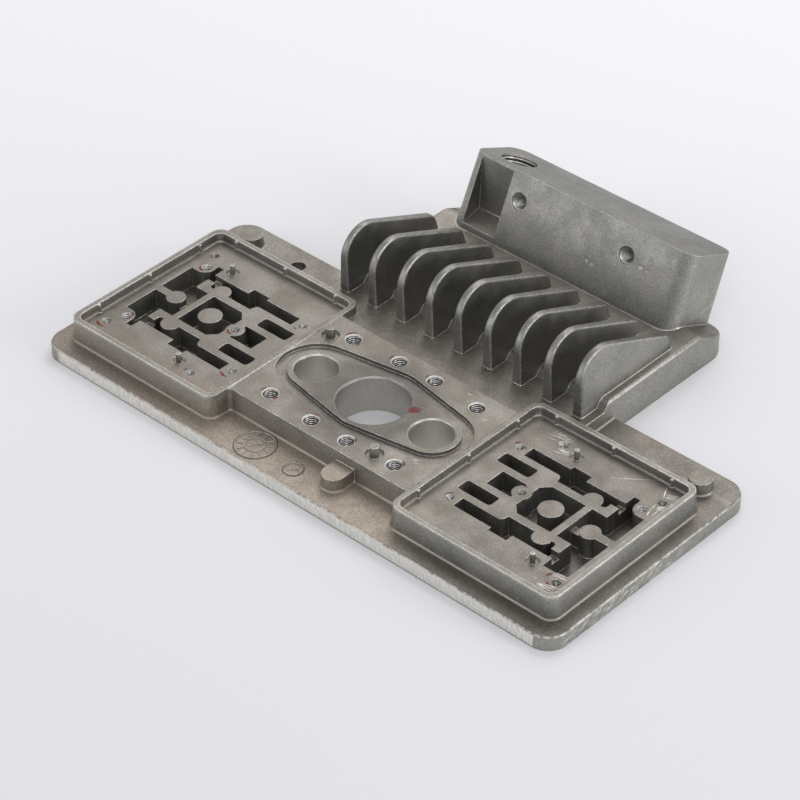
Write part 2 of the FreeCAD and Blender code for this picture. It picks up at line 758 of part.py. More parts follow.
def labyrinth_posts():
    """Posts, web cylinders, screw boss and end web that stay up to the pocket floor."""
    foot = LABYRINTH_FLOOR - OVERRUN
    posts = [
        cylinder(POST_U, 0, POST_RADIUS, foot, POCKET_FLOOR),
        cylinder(POST_U + END_POST_FORWARD, END_WEB_OFFSET, END_POST_RADIUS, foot, POCKET_FLOOR),
        cylinder(POST_U + SCREW_BOSS_FORWARD, 0, SCREW_BOSS_RADIUS, foot, POCKET_FLOOR),
    ]
    for side in (-1, 1):
        u = POST_U + WEB_CYLINDER_FORWARD
        y = side * WEB_CYLINDER_OFFSET
        posts.append(cylinder(u, y, WEB_CYLINDER_RADIUS, foot, POCKET_FLOOR))
    outer_wall = (POST_U + END_POST_FORWARD, POST_U + END_WELL_OUTER + OVERRUN)
    posts.append(box(outer_wall, end_web_range(), (foot, POCKET_FLOOR)))
    return posts


def labyrinth(front_corner_cut):
    """Everything that is cut below one pocket's floor, as one tool."""
    wells = [middle_well(), end_well(front_corner_cut), channel(1), channel(-1)]
    tool = wells[0].fuse(wells[1:] + small_wells())
    return tool.cut(labyrinth_posts() + [hook(1), hook(-1)] + gates())


def floor_hole(radius, depth):
    return cylinder(0, 0, radius, -depth, OVERRUN)


def pocket_holes():
    """Screw and dowel holes in the floor of a pocket."""
    screw = floor_hole(SCREW_HOLE_RADIUS, SCREW_HOLE_DEPTH)
    dowel = floor_hole(DOWEL_HOLE_RADIUS, DOWEL_HOLE_DEPTH)
    places = [
        (screw, SCREW_BOSS_FORWARD, 0.0),
        (screw, CORNER_SCREW_FORWARD, CORNER_SCREW_OFFSET),
        (screw, CORNER_SCREW_FORWARD, -CORNER_SCREW_OFFSET),
        (screw, INNER_SCREW_FORWARD, INNER_SCREW_OFFSET),
        (screw, INNER_SCREW_FORWARD, -INNER_SCREW_OFFSET),
        (dowel, CORNER_DOWEL_FORWARD, CORNER_DOWEL_OFFSET),
    ]
    return [placed(tool, Vector(POST_U + u, y, POCKET_FLOOR)) for tool, u, y in places]


def left_pocket_extras():
    """Holes that only the left pocket has: a second dowel and a screw at the front."""
    dowel = floor_hole(DOWEL_HOLE_RADIUS, DOWEL_HOLE_DEPTH)
    screw = floor_hole(SCREW_HOLE_RADIUS, SCREW_HOLE_DEPTH)
    return [
        placed(dowel, Vector(-POST_U - CORNER_DOWEL_FORWARD, -CORNER_DOWEL_OFFSET, POCKET_FLOOR)),
        placed(screw, Vector(-POST_U - LONE_HOLE_FORWARD, -LONE_HOLE_OFFSET, POCKET_FLOOR)),
    ]


def right_pocket_extras():
    dowel = floor_hole(DOWEL_HOLE_RADIUS, DOWEL_HOLE_DEPTH)
    return [placed(dowel, Vector(POST_U + LONE_HOLE_FORWARD, LONE_HOLE_OFFSET, POCKET_FLOOR))]


def pin_places():
    """Pocket pins: the left pocket's pair is the right one's, turned half round."""
    outer = (POST_U + OUTER_PIN_FORWARD, OUTER_PIN_OFFSET)
    inner = (POST_U + INNER_PIN_FORWARD, INNER_PIN_OFFSET)
    return [(outer[0], -outer[1]), inner, (-outer[0], outer[1]), (-inner[0], -inner[1])]


def moats():
    """Round moats that the die leaves round each pin."""
    floor = POCKET_FLOOR - POCKET_MOAT_DEPTH
    rings = []
    for x, y in pin_places():
        ring = cylinder(x, y, POCKET_MOAT_RADIUS, floor, POCKET_FLOOR + OVERRUN)
        rings.append(ring.cut(cylinder(x, y, POCKET_PIN_RADIUS, floor, POCKET_FLOOR + OVERRUN)))
    floor = DECK - DECK_MOAT_DEPTH
    for x, y in (DECK_PIN_LEFT, DECK_PIN_RIGHT):
        ring = cylinder(x, y, DECK_MOAT_RADIUS, floor, DECK + OVERRUN)
        rings.append(ring.cut(cylinder(x, y, DECK_PIN_RADIUS, floor, DECK + OVERRUN)))
    return rings


def pins():
    posts = []
    for x, y in pin_places():
        posts.append(cylinder(x, y, POCKET_PIN_RADIUS, POCKET_FLOOR - OVERRUN, DECK))
    for x, y in (DECK_PIN_LEFT, DECK_PIN_RIGHT):
        top = DECK + DECK_PIN_HEIGHT
        posts.append(cylinder(x, y, DECK_PIN_RADIUS, DECK - DECK_MOAT_DEPTH - OVERRUN, top))
    return posts


def belt_outline(middle_radius, end_radius, z):
    """Outline round three circles in a row, joined by their common tangents."""
    spacing = SIDE_BORE_SPACING
    angle = math.acos((middle_radius - end_radius) / spacing)

    def on_circle(centre_x, radius, direction):
        return Vector(centre_x + radius * math.cos(direction), radius * math.sin(direction), z)

    right = [on_circle(spacing, end_radius, turn) for turn in (-angle, 0, angle)]
    top = [on_circle(0, middle_radius, turn) for turn in (angle, math.pi / 2, math.pi - angle)]
    left = [on_circle(-spacing, end_radius, math.pi + turn) for turn in (-angle, 0, angle)]
    bottom = [on_circle(0, middle_radius, -turn) for turn in (math.pi - angle, math.pi / 2, angle)]
    edges = []
    arcs = [right, top, left, bottom]
    for index in range(4):
        start, middle, end = arcs[index]
        edges.append(Part.Arc(start, middle, end).toShape())
        edges.append(Part.makeLine(end, arcs[(index + 1) % 4][0]))
    return Part.Wire(edges)


def seal_groove():
    """Groove round the three bores."""
    up = Vector(0, 0, GROOVE_DEPTH + OVERRUN)
    floor = DECK - GROOVE_DEPTH
    outer_middle = ISLAND_MIDDLE_RADIUS + GROOVE_WIDTH
    outer_end = ISLAND_END_RADIUS + GROOVE_WIDTH
    outer = Part.Face(belt_outline(outer_middle, outer_end, floor)).extrude(up)
    island = Part.Face(belt_outline(ISLAND_MIDDLE_RADIUS, ISLAND_END_RADIUS, floor)).extrude(up)
    return outer.cut(island)


def bores():
    """The centre bore and its two side bores, right through the housing."""
    length = HOUSING_HEIGHT + OVERRUN
    centre = cored_hole(CENTRE_BORE_RADIUS, length, BORE_CHAMFER)
    side = cored_hole(SIDE_BORE_RADIUS, length, BORE_CHAMFER)
    right = placed(side, Vector(SIDE_BORE_SPACING, 0, DECK))
    return [placed(centre, Vector(0, 0, DECK))] + on_both_sides(right)


def deck_screws():
    tool = cored_hole(DECK_SCREW_RADIUS, DECK_SCREW_DEPTH, DECK_SCREW_CHAMFER)
    holes = []
    for x, y in ((OUTER_SCREW_X, OUTER_SCREW_Y), (MIDDLE_SCREW_X, MIDDLE_SCREW_Y)):
        for side_y in (-y, y):
            holes += on_both_sides(placed(tool, Vector(x, side_y, DECK)))
    return holes


def wing_hole():
    x = -FLANGE_HALF_LENGTH + WING_HOLE_INSET
    y = FLANGE_BACK - WING_HOLE_BACK_INSET
    return cylinder(x, y, WING_HOLE_RADIUS, UNDERSIDE - OVERRUN, FLANGE_TOP + OVERRUN)


def rounded_notches(body):
    """Rounding of the two upright corners where the deck's front wall meets the blocks."""
    notches = []
    for edge in body.Edges:
        middle = edge.valueAt((edge.FirstParameter + edge.LastParameter) / 2)
        upright = edge.BoundBox.ZLength > 0.9 * (DECK - FLANGE_TOP)
        at_block = abs(abs(middle.x) - BLOCK_INNER_U) < OVERRUN
        if upright and at_block and -DECK_HALF_DEPTH - OVERRUN < middle.y < -DECK_HALF_DEPTH:
            notches.append(edge)
    return body.makeFillet(DECK_CORNER_RADIUS, notches)


def rounded_feet(body):
    """Rounding where the raised walls and bosses meet the flange."""
    margin = FLANGE_EDGE_RADIUS + 0.1
    half = FLANGE_HALF_LENGTH - margin

    def inside_flange(middle):
        return abs(middle.x) < half and FLANGE_FRONT + margin < middle.y < FLANGE_BACK - margin

    body = body.makeFillet(FOOT_RADIUS, edges_at_height(body, FLANGE_TOP, inside_flange))
    return body


def housing():
    raised = raised_blocks() + [deck(), fin_plate()] + flange_bosses()
    body = flange().fuse(raised).removeSplitter()
    body = rounded_feet(rounded_notches(body))
    body = body.fuse(fins() + [leaning_block()])
    body = body.cut([pocket_recess(), mirrored(pocket_recess())])
    ribs = rim_ribs()
    body = body.fuse(ribs + [mirrored(rib) for rib in ribs])
    body = body.cut([labyrinth(True), mirrored(labyrinth(False))])
    holes = pocket_holes()
    holes += [mirrored(hole) for hole in holes]
    holes += left_pocket_extras() + right_pocket_extras() + deck_screws() + bores()
    body = body.cut(holes + moats() + [seal_groove(), wing_hole()])
    return body.fuse(pins()).removeSplitter()


def main():
    os.makedirs("parts", exist_ok=True)
    shape = housing()
    solid = shape.Solids[0]
    solid.exportStep("parts/housing.step")
    bounds = solid.BoundBox
    print("solids", len(shape.Solids), "valid", solid.isValid(), "faces", len(solid.Faces))
    print("size", round(bounds.XLength, 2), round(bounds.YLength, 2), round(bounds.ZLength, 2))
    print("volume cm3", round(solid.Volume / 1000, 2))


main()
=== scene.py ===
# %% [markdown]
# # A die cast aluminium housing
# This part left its die as one casting: a flanged base with two labyrinth pockets, a
# machined deck with three bores, nine cooling fins and a leaning block with a pipe port.
# The CAD model holds all of that. Blender adds what is too fine for it, the threads, the
# die's date mark, scratches and marker paint, and above all the look of blasted metal.

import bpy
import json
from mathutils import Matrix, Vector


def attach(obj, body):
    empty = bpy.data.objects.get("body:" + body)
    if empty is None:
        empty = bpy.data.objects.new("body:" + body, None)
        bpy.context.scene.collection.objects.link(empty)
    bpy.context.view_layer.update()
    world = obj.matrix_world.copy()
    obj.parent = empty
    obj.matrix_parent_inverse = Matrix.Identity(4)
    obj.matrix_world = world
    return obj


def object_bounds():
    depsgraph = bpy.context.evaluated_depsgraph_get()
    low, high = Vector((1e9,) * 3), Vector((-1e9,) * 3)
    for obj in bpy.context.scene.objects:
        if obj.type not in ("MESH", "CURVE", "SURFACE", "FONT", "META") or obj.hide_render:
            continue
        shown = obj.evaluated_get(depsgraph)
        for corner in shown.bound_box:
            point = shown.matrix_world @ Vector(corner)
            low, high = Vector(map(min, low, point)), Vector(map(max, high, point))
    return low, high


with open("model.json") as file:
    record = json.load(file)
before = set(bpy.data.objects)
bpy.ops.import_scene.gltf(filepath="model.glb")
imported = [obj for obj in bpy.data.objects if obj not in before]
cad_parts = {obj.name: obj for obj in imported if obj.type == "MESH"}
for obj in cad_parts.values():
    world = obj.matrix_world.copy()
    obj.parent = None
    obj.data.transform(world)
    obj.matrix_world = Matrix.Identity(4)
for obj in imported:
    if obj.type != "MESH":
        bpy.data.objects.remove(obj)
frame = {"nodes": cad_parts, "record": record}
cad_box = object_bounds()
housing = frame["nodes"]["housing"]
print("CAD box in mm", [[round(value * 1000, 1) for value in corner] for corner in cad_box])

# %% [markdown]
# Blender works in metres here. The sizes of screws and pockets are easier to read in
# millimetres, so a place is written in millimetres and turned to metres in one function.
# The levels are those of the casting: the deck is at zero, the flange lies below it.

# %% Millimetres and levels
import json
import math
import random

import bpy
from mathutils import Matrix, Vector

MM = 0.001
DECK = 0.0
POCKET_FLOOR = -3.3
FLANGE_TOP = -8.5
UNDERSIDE = cad_box[0][2] / MM
FLANGE_FRONT = cad_box[0][1] / MM
FLANGE_RIGHT = cad_box[1][0] / MM
UP = Vector((0, 0, 1))


def metres(x, y, z):
    """A point in millimetres as a vector in metres."""
    return Vector((x, y, z)) * MM


print("underside", round(UNDERSIDE, 2), "flange front", round(FLANGE_FRONT, 2))

# %% [markdown]
# Colours are picked as sRGB hex values, as a paint program shows them, but a shader
# reckons in linear light. One function does the change for every colour of the scene.

# %% Colour from hex


def linear(code):
    """sRGB hex such as "8d8781" as a linear RGBA colour."""
    channels = [int(code[i:i + 2], 16) / 255 for i in (0, 2, 4)]
    curved = [c / 12.92 if c <= 0.04045 else ((c + 0.055) / 1.055) ** 2.4 for c in channels]
    return (*curved, 1.0)


print("mid grey", [round(c, 3) for c in linear("808080")])

# %% [markdown]
# A material is a net of small nodes. The next function adds one node of any kind: the
# keyword settings are its own properties, and the inputs are either plain values or
# sockets of other nodes, which get linked.

# %% One function for every node


def add(tree, kind, inputs=None, **settings):
    """Add a node with its settings, and fill or link its inputs."""
    made = tree.nodes.new(kind)
    for name, value in settings.items():
        setattr(made, name, value)
    for name, value in (inputs or {}).items():
        if isinstance(value, bpy.types.NodeSocket):
            tree.links.new(value, made.inputs[name])
        else:
            made.inputs[name].default_value = value
    return made


def new_material(name):
    """An empty material and its node tree."""
    material = bpy.data.materials.new(name)
    material.use_nodes = True
    material.node_tree.nodes.clear()
    return material, material.node_tree


print("helpers made:", add.__name__, new_material.__name__)

# %% [markdown]
# The casting's surface is aluminium that froze against steel and was then lightly
# blasted. To the eye that gives a soft grey metal with a sandy grain, a warm brown cast
# where release agent and dust settled on upward faces, and cooler walls; over that lie
# painted shade in corners and pale worn edges with painted highlights. It could be painted
# as an image, but then it would fit one view only, so it is built from noise that is
# measured in millimetres on the object itself.

# %% Places and noise in millimetres


def place_in_mm(tree):
    """Object coordinates in millimetres."""
    inputs = {0: add(tree, "ShaderNodeTexCoord").outputs["Object"], "Scale": 1 / MM}
    return add(tree, "ShaderNodeVectorMath", inputs, operation="SCALE").outputs[0]


def patterns(tree, place, table):
    """Noises by name, from rows of (blotch size in millimetres, detail, roughness)."""
    made = {}
    for name, (size, detail, rough) in table.items():
        inputs = {"Vector": place, "Scale": 1 / size, "Detail": detail, "Roughness": rough}
        made[name] = add(tree, "ShaderNodeTexNoise", inputs).outputs["Fac"]
    return made


# The finest grit marks are a tenth of a millimetre wide, and are drawn five times as coarse
METAL_NOISES = {
    "grain": (0.55, 3.0, 0.7),
    "rim_breaks": (0.6, 3.0, 0.7),
    "glints": (0.7, 2.0, 0.5),
    "edge_breaks": (1.1, 3.0, 0.7),
    "patches": (1.6, 3.0, 0.6),
    "waves": (4.0, 2.0, 0.5),
    "blotches": (6.0, 3.0, 0.5),
    "stretches": (9.0, 2.0, 0.5),
    "mottle": (16.0, 4.0, 0.6),
}
print("noises of the metal", len(METAL_NOISES))

# %% [markdown]
# Every trace on the metal has its place: dust on what faces up, wear on edges, oil round
# the bores. A mask says how much of it is there, from 0 to 1. A mask is a product of
# limits, each a smooth step between two values. Heights and roughness are sums of masks
# with a weight each.

# %% Masks and sums


def mask(tree, *limits):
    """Product of limits. A limit is a plain factor, or (value, start, end), which steps
    smoothly from 0 to 1 between start and end, or to other levels with two more numbers."""
    result = None
    for limit in limits:
        if isinstance(limit, tuple):
            value, start, end, low, high = (*limit, 0.0, 1.0)[:5]
            inputs = {"Value": value, "From Min": start, "From Max": end}
            inputs.update({"To Min": low, "To Max": high})
            step = add(tree, "ShaderNodeMapRange", inputs, interpolation_type="SMOOTHSTEP")
            limit = step.outputs["Result"]
        if result is not None:
            made = add(tree, "ShaderNodeMath", {0: result, 1: limit}, operation="MULTIPLY")
            limit = made.outputs[0]
        result = limit
    return result


def total(tree, *terms):
    """Sum of terms, each a tuple of limits that are multiplied."""
    result = None
    for term in terms:
        value = mask(tree, *term)
        if result is not None:
            made = add(tree, "ShaderNodeMath", {0: result, 1: value}, operation="ADD")
            value = made.outputs[0]
        result = value
    return result


def near_point(tree, place, point, inner, outer):
    """1 within inner millimetres of a point, 0 beyond outer."""
    distance = add(tree, "ShaderNodeVectorMath", {0: place, 1: point}, operation="DISTANCE")
    return mask(tree, (distance.outputs["Value"], inner, outer, 1.0, 0.0))


print("helpers made:", mask.__name__, total.__name__, near_point.__name__)

# %% [markdown]
# A finish is built like paint: a ground colour first, then thin coats, each through its
# own mask. That keeps every trace a single line in a list, which is easy to reorder or to
# take out while matching. A last helper leads the finished values to the shader.

# %% Coats of colour


def coats(tree, colour, *layers):
    """Colour with coats over it in order, each as (hex colour or socket, limits...)."""
    for tone, *limits in layers:
        above = linear(tone) if isinstance(tone, str) else tone
        inputs = {0: mask(tree, *limits), 6: colour, 7: above}
        colour = add(tree, "ShaderNodeMix", inputs, data_type="RGBA").outputs[2]
    return colour


def speckled(tree, colour, speck, factor=1.0):
    """Colour made darker and lighter by a value that goes around 1."""
    grey = add(tree, "ShaderNodeCombineColor", {0: speck, 1: speck, 2: speck}).outputs[0]
    settings = {"data_type": "RGBA", "blend_type": "MULTIPLY"}
    return add(tree, "ShaderNodeMix", {0: factor, 6: colour, 7: grey}, **settings).outputs[2]


def closed(material, inputs):
    """The material, with a surface shader of these inputs led to its output."""
    tree = material.node_tree
    shader = add(tree, "ShaderNodeBsdfPrincipled", inputs)
    add(tree, "ShaderNodeOutputMaterial", {"Surface": shader.outputs[0]})
    print(material.name, len(tree.nodes), "nodes")
    return material


print("helpers made:", coats.__name__, speckled.__name__, closed.__name__)

# %% [markdown]
# Masks need to know where a point of the surface lies and which way it faces. Both are
# worked out once. The plan view, with the height set to zero, finds holes from above, and
# folding left on right and back on front finds four mirrored holes with one test.

# %% Where a point lies and faces
from types import SimpleNamespace


def from_above(tree, place):
    """A place with its height set to zero."""
    inputs = {0: place, 1: (1, 1, 0)}
    return add(tree, "ShaderNodeVectorMath", inputs, operation="MULTIPLY").outputs[0]


def surface_point(tree):
    """Place, plan view, noises and direction of a point of the metal."""
    place = place_in_mm(tree)
    folded = add(tree, "ShaderNodeVectorMath", {0: place}, operation="ABSOLUTE").outputs[0]
    plan, folded_plan = [from_above(tree, seen) for seen in (place, folded)]
    x, y, z = add(tree, "ShaderNodeSeparateXYZ", {0: place}).outputs
    normal = add(tree, "ShaderNodeNewGeometry").outputs["Normal"]
    right, back, up = add(tree, "ShaderNodeSeparateXYZ", {0: normal}).outputs
    return SimpleNamespace(
        place=place,
        folded=folded,
        plan=plan,
        folded_plan=folded_plan,
        x=x,
        y=y,
        z=z,
        normal=normal,
        right=right,
        back=back,
        up=up,
        noise=patterns(tree, place, METAL_NOISES),
    )


print("the flange's top lies", FLANGE_TOP - UNDERSIDE, "mm above the table")

# %% [markdown]
# Worn edges and painted edge highlights come from the Bevel node: it gives the direction
# that a surface would have if its edges were rounded. Where that differs from the true
# direction there is an edge, and there the grey skin is rubbed off and a highlight is
# painted. Corners are found by ambient occlusion: what sees little of its surroundings
# is painted darker, as painted shade.

# %% Masks for edges, rims and corners
EDGE_REACH = 0.46
RIM_REACH = 1.1
CORNER_REACH = 3.5
RIM_START = 42.0


def edge_match(tree, at, reach, samples):
    """1 on a flat and less near an edge, and the direction with the edge rounded."""
    rounded = add(tree, "ShaderNodeBevel", {"Radius": reach * MM}, samples=samples).outputs[0]
    inputs = {0: rounded, 1: at.normal}
    match = add(tree, "ShaderNodeVectorMath", inputs, operation="DOT_PRODUCT")
    return match.outputs["Value"], rounded


def edge_wear_and_highlight_mask(tree, at):
    """1 on sharp outer edges, worn and with a painted highlight, broken up as wear is; and
    the rounded direction.
    """
    match, rounded = edge_match(tree, at, EDGE_REACH, 6)
    broken = (at.noise["edge_breaks"], 0.36, 0.6, 0.35, 1.0)
    stretches = (at.noise["stretches"], 0.35, 0.6, 0.6, 1.0)
    return mask(tree, (match, 0.99, 0.87), broken, stretches), rounded


def rim_wear_and_highlight_mask(tree, at):
    """1 on the pocket rims, most on their outer edges: rubbed by covers, with a painted
    highlight.
    """
    match, _ = edge_match(tree, at, RIM_REACH, 4)
    sideways = add(tree, "ShaderNodeSeparateXYZ", {0: at.folded}).outputs[0]
    return mask(
        tree,
        (match, 0.998, 0.93, 0.18, 1.0),
        (sideways, RIM_START - 0.5, RIM_START + 0.5),
        (at.z, DECK - 1.0, DECK - 0.6),
        (at.z, DECK + 0.6, DECK + 0.3),
        (at.noise["rim_breaks"], 0.4, 0.62, 0.35, 1.0),
    )


def corner_shade_mask(tree):
    """1 deep in corners, 0 in the open: where shade is painted."""
    inputs = {"Distance": CORNER_REACH * MM}
    light = add(tree, "ShaderNodeAmbientOcclusion", inputs, samples=6)
    return mask(tree, (light.outputs["AO"], 0.6, 0.12))


print("edges are worn for", EDGE_REACH, "mm, rims for", RIM_REACH, "mm")

# %% [markdown]
# Some highlights are painted where a form, and not a sharp edge, catches the light: on the
# rounded feet of the walls, the lip of the flange and the round edges of the fins. Each is
# found by its level and by the slant of its surface.

# %% Masks for feet, lip and fins


def foot_highlight_mask(tree, at):
    """1 on the rounded feet of the raised walls, where they run out into the flange: a
    painted highlight.
    """
    start = (at.z, FLANGE_TOP + 0.03, FLANGE_TOP + 0.12)
    return mask(tree, start, (at.z, FLANGE_TOP + 0.75, FLANGE_TOP + 0.45), (at.up, 0.2, 0.45))


def lip_highlight_mask(tree, at):
    """1 in patches on the rounded upper edge of the flange: a painted highlight."""
    start = (at.z, FLANGE_TOP - 0.7, FLANGE_TOP - 0.5)
    slant = (at.up, 0.3, 0.5)
    patches = (at.noise["patches"], 0.35, 0.6)
    return mask(tree, start, (at.z, FLANGE_TOP - 0.02, FLANGE_TOP - 0.1), slant, patches)


def fin_edge_highlight_mask(tree, at):
    """1 in patches along the rounded edges of the fins: a painted highlight."""
    slant = add(tree, "ShaderNodeMath", {0: at.right}, operation="ABSOLUTE").outputs[0]
    return mask(
        tree,
        (at.y, 25.0, 27.0),
        (at.y, 90.0, 86.0),
        (at.z, FLANGE_TOP + 1.5, FLANGE_TOP + 4.0),
        (slant, 0.3, 0.55),
        (slant, 0.97, 0.8),
        (at.noise["patches"], 0.3, 0.65),
    )


print("the feet run out at level", FLANGE_TOP)

# %% [markdown]
# The casting's long front edge was dressed with a file after trimming. That left a pale
# bright band of short strokes, which the dark cast skin borders. On the right end face the
# file only touched in places. The strokes are noise that is squeezed across the stroke and
# stretched along it. Real file teeth are 0.3 mm apart, too fine to show, so the strokes
# are drawn about 0.5 mm wide.

# %% Filed faces
STROKE_WIDTH = 0.5
STROKE_LENGTH = 3.6
FRONT_TURN = (0.0, 14.0, 0.0)
SIDE_TURN = (62.0, 0.0, 0.0)
BAND_END = 108.0


def strokes(tree, place, turn):
    """Slanting file strokes, turned by three angles in degrees."""
    inputs = {"Vector": place, "Rotation": [math.radians(angle) for angle in turn]}
    turned = add(tree, "ShaderNodeMapping", inputs).outputs[0]
    inputs = {"Vector": turned, "Scale": (1, 1, STROKE_WIDTH / STROKE_LENGTH)}
    squeezed = add(tree, "ShaderNodeMapping", inputs).outputs[0]
    return patterns(tree, squeezed, {"cuts": (STROKE_WIDTH, 3.0, 0.6)})["cuts"]


def filed_front(tree, at):
    """Mask and strokes of the filed band on the front edge."""
    band = mask(
        tree,
        (at.back, -0.93, -0.995),
        (at.y, FLANGE_FRONT + 0.5, FLANGE_FRONT + 0.2),
        (at.x, -BAND_END, -BAND_END + 3),
        (at.x, BAND_END, BAND_END - 1),
        (at.z, UNDERSIDE + 0.3, UNDERSIDE + 0.7),
    )
    return band, strokes(tree, at.place, FRONT_TURN)


def filed_side(tree, at):
    """Mask and strokes of the right end face."""
    cuts = strokes(tree, at.place, SIDE_TURN)
    touched = mask(
        tree,
        (at.right, 0.93, 0.995),
        (at.x, FLANGE_RIGHT - 0.5, FLANGE_RIGHT - 0.2),
        (cuts, 0.52, 0.66),
        (at.y, 30.0, 5.0, 0.15, 1.0),
    )
    return touched, cuts


print("the filed band is", 2 * BAND_END, "mm long")

# %% [markdown]
# Holes that were bored or reamed after casting have bright walls, and the small pins were
# rubbed bright too. Part of that brightness is painted light: the two side bores and the
# dowel holes are lightened most, and the centre bore less. The deck's tapped holes are dark
# behind the thread and bright at the mouth. All of them are found in the plan view by their
# distance to an axis.

# %% Masks for bores and tapped holes
# Bores, dowel holes and pins as (x, y, radius, how much the wall is lightened: bright cut
# metal, and painted light most of all in the side bores and dowel holes)
BORES = [
    (0.0, 0.0, 12.5, 0.45),
    (-26.0, 0.0, 7.5, 1.0),
    (26.0, 0.0, 7.5, 1.0),
    (58.7, 27.3, 1.8, 1.6),
    (98.1, 19.3, 1.8, 1.6),
    (-98.1, 19.3, 1.8, 1.6),
    (-98.1, -19.3, 1.8, 1.6),
    (-35.5, 16.6, 1.6, 0.45),
    (19.4, -20.2, 1.6, 0.45),
    (89.1, -23.0, 0.9, 0.4),
    (66.3, 25.2, 0.9, 0.4),
    (-89.1, 23.0, 0.9, 0.4),
    (-66.3, -25.2, 0.9, 0.4),
]
# Tapped holes of one quarter of the deck; the others mirror them
TAPPED = [(27.9, 20.0), (8.0, 21.3)]
# Radii over which a tapped hole's wall and its mouth fade out
TAPPED_WALL = (2.56, 2.62)
TAPPED_RIM = (2.9, 3.15)


def bored_and_lit_mask(tree, at):
    """1 on the upright walls of bores and pins, lightened as cut metal and partly as painted
    light.
    """
    marks = []
    for x, y, radius, lightened in BORES:
        reach = radius + min(0.55, radius / 5)
        marks.append((near_point(tree, at.plan, (x, y, 0), reach, reach + 0.05), lightened))
    inputs = {0: total(tree, *marks), 1: 1.0}
    walls = add(tree, "ShaderNodeMath", inputs, operation="MINIMUM").outputs[0]
    return mask(tree, walls, (at.up, 0.9, 0.6))


def tapped_masks(tree, at):
    """Masks of the deck's tapped holes: the wall behind the thread, and the mouth."""
    axes = [(x, y, 0) for x, y in TAPPED]
    walls = [(near_point(tree, at.folded_plan, axis, *TAPPED_WALL),) for axis in axes]
    mouths = [(near_point(tree, at.folded_plan, axis, *TAPPED_RIM),) for axis in axes]
    wall = mask(tree, total(tree, *walls), (at.z, -0.4, -0.7))
    return wall, mask(tree, total(tree, *mouths), (at.z, -0.8, -0.5))


print("bores and pins", len(BORES), "tapped holes", 4 * len(TAPPED))

# %% [markdown]
# The rest are single traces. Knocks bruised the leaning block's face, the inserts of the
# die left a fine groove where they met it, whose shade is painted as a dark ring, and a rust
# coloured speck lies behind the fins. The front of the flange kept a brown skin, because it
# was handled least.

# %% Masks for single traces
# Bruises of the leaning face as (x, distance up the face, reach)
BRUISES = [
    (11.0, 10.0, 1.9),
    (9.0, 11.0, 2.6),
    (30.5, 16.8, 1.3),
    (33.0, 16.9, 1.2),
    (-15.5, 19.0, 1.0),
]
LEAN = math.radians(24.65)
LEANING_FRONT = 93.3
WHEEL = (-19.9, -35.5)
SMALL_MARK = (-1.9, -36.2)
# Joints of the die inserts as (centre, radius)
JOINTS = [(WHEEL, 7.35), (SMALL_MARK, 3.6)]
JOINT_WIDTH = 0.3
RUST_PLACE = (-56.0, 102.0, 0.0)


def bruise_mask(tree, at):
    """1 in patches on the small bruises of the leaning block's face."""
    marks = []
    for x, up, reach in BRUISES:
        point = (x, LEANING_FRONT + up * math.sin(LEAN), up * math.cos(LEAN))
        marks.append((near_point(tree, at.place, point, 0.2 * reach, reach),))
    return mask(tree, total(tree, *marks), (at.noise["patches"], 0.5, 0.62))


def joint_shade_mask(tree, at):
    """1 on the fine rings where die inserts met the die: the painted shade of a fine groove.
    """
    rings = []
    for (x, y), radius in JOINTS:
        outer = near_point(tree, at.plan, (x, y, 0), radius, radius + JOINT_WIDTH)
        inner = near_point(tree, at.plan, (x, y, 0), radius - JOINT_WIDTH, radius)
        rings += [(outer,), (inner, -1.0)]
    return total(tree, *rings)


def rust_mask(tree, at):
    """1 in patches on the rust coloured speck."""
    spot = near_point(tree, at.plan, RUST_PLACE, 0.7, 1.9)
    return mask(tree, spot, (at.noise["patches"], 0.4, 0.5))


def skin_mask(tree, at):
    """1 on the front of the flange, below the deck."""
    return mask(tree, (at.z, DECK - 0.6, DECK - 1.4), (at.y, -25, -29), (at.x, 60, 30))


print("bruises", len(BRUISES), "insert joints", len(JOINTS))

# %% [markdown]
# Now the metal itself. A metal's colour sits in its reflection, so metallic is 1 and the
# index of refraction stays at its default. Polished aluminium would be near white; this
# rough skin with oxide in its pores gives back far less, so the greys are matched to it.
# First comes the skin as it left the die and the blasting, dull where a gasket has been,
# darker towards the right on upward faces, with painted shade in the bottoms of the wells.

# %% Colour of the cast skin
WALL_GREY = "93938f"
TOP_BROWN = "8c867e"
PALE_MOTTLE = "a8a49d"
DULL_GREY = "6e6a65"
BROWN_SKIN = "9f958b"
SKIN_PAINTED_LIGHT = "c4b8ab"
WELL_SHADE = "6e6d6a"


def skin_colour(tree, at):
    """Colour of the skin without its specks, before wear and cutting."""
    upward = mask(tree, (at.up, 0.3, 0.95))
    gasket = near_point(tree, at.place, (0, 0, 0), 17.0, 30.0)
    return coats(
        tree,
        linear(WALL_GREY),
        (TOP_BROWN, upward, (at.z, 12.0, 8.0, 0.2, 1.0)),
        (PALE_MOTTLE, (at.noise["mottle"], 0.38, 0.66), 0.55),
        # Darker towards the right on upward faces
        (DULL_GREY, (at.x, 15, 80), upward, 0.45),
        (BROWN_SKIN, at.skin, 0.7),
        # Painted light: the middle of the flange front is lightened where the deck wall
        # shades it
        (SKIN_PAINTED_LIGHT, at.skin, (at.x, -75, -25), upward, 0.5),
        (DULL_GREY, gasket, upward, 0.8),
        # Painted shade in the bottoms of the wells
        (WELL_SHADE, (at.z, -8.8, -9.2), upward, 0.6),
    )


print("grey of the walls", [round(c, 3) for c in linear(WALL_GREY)])

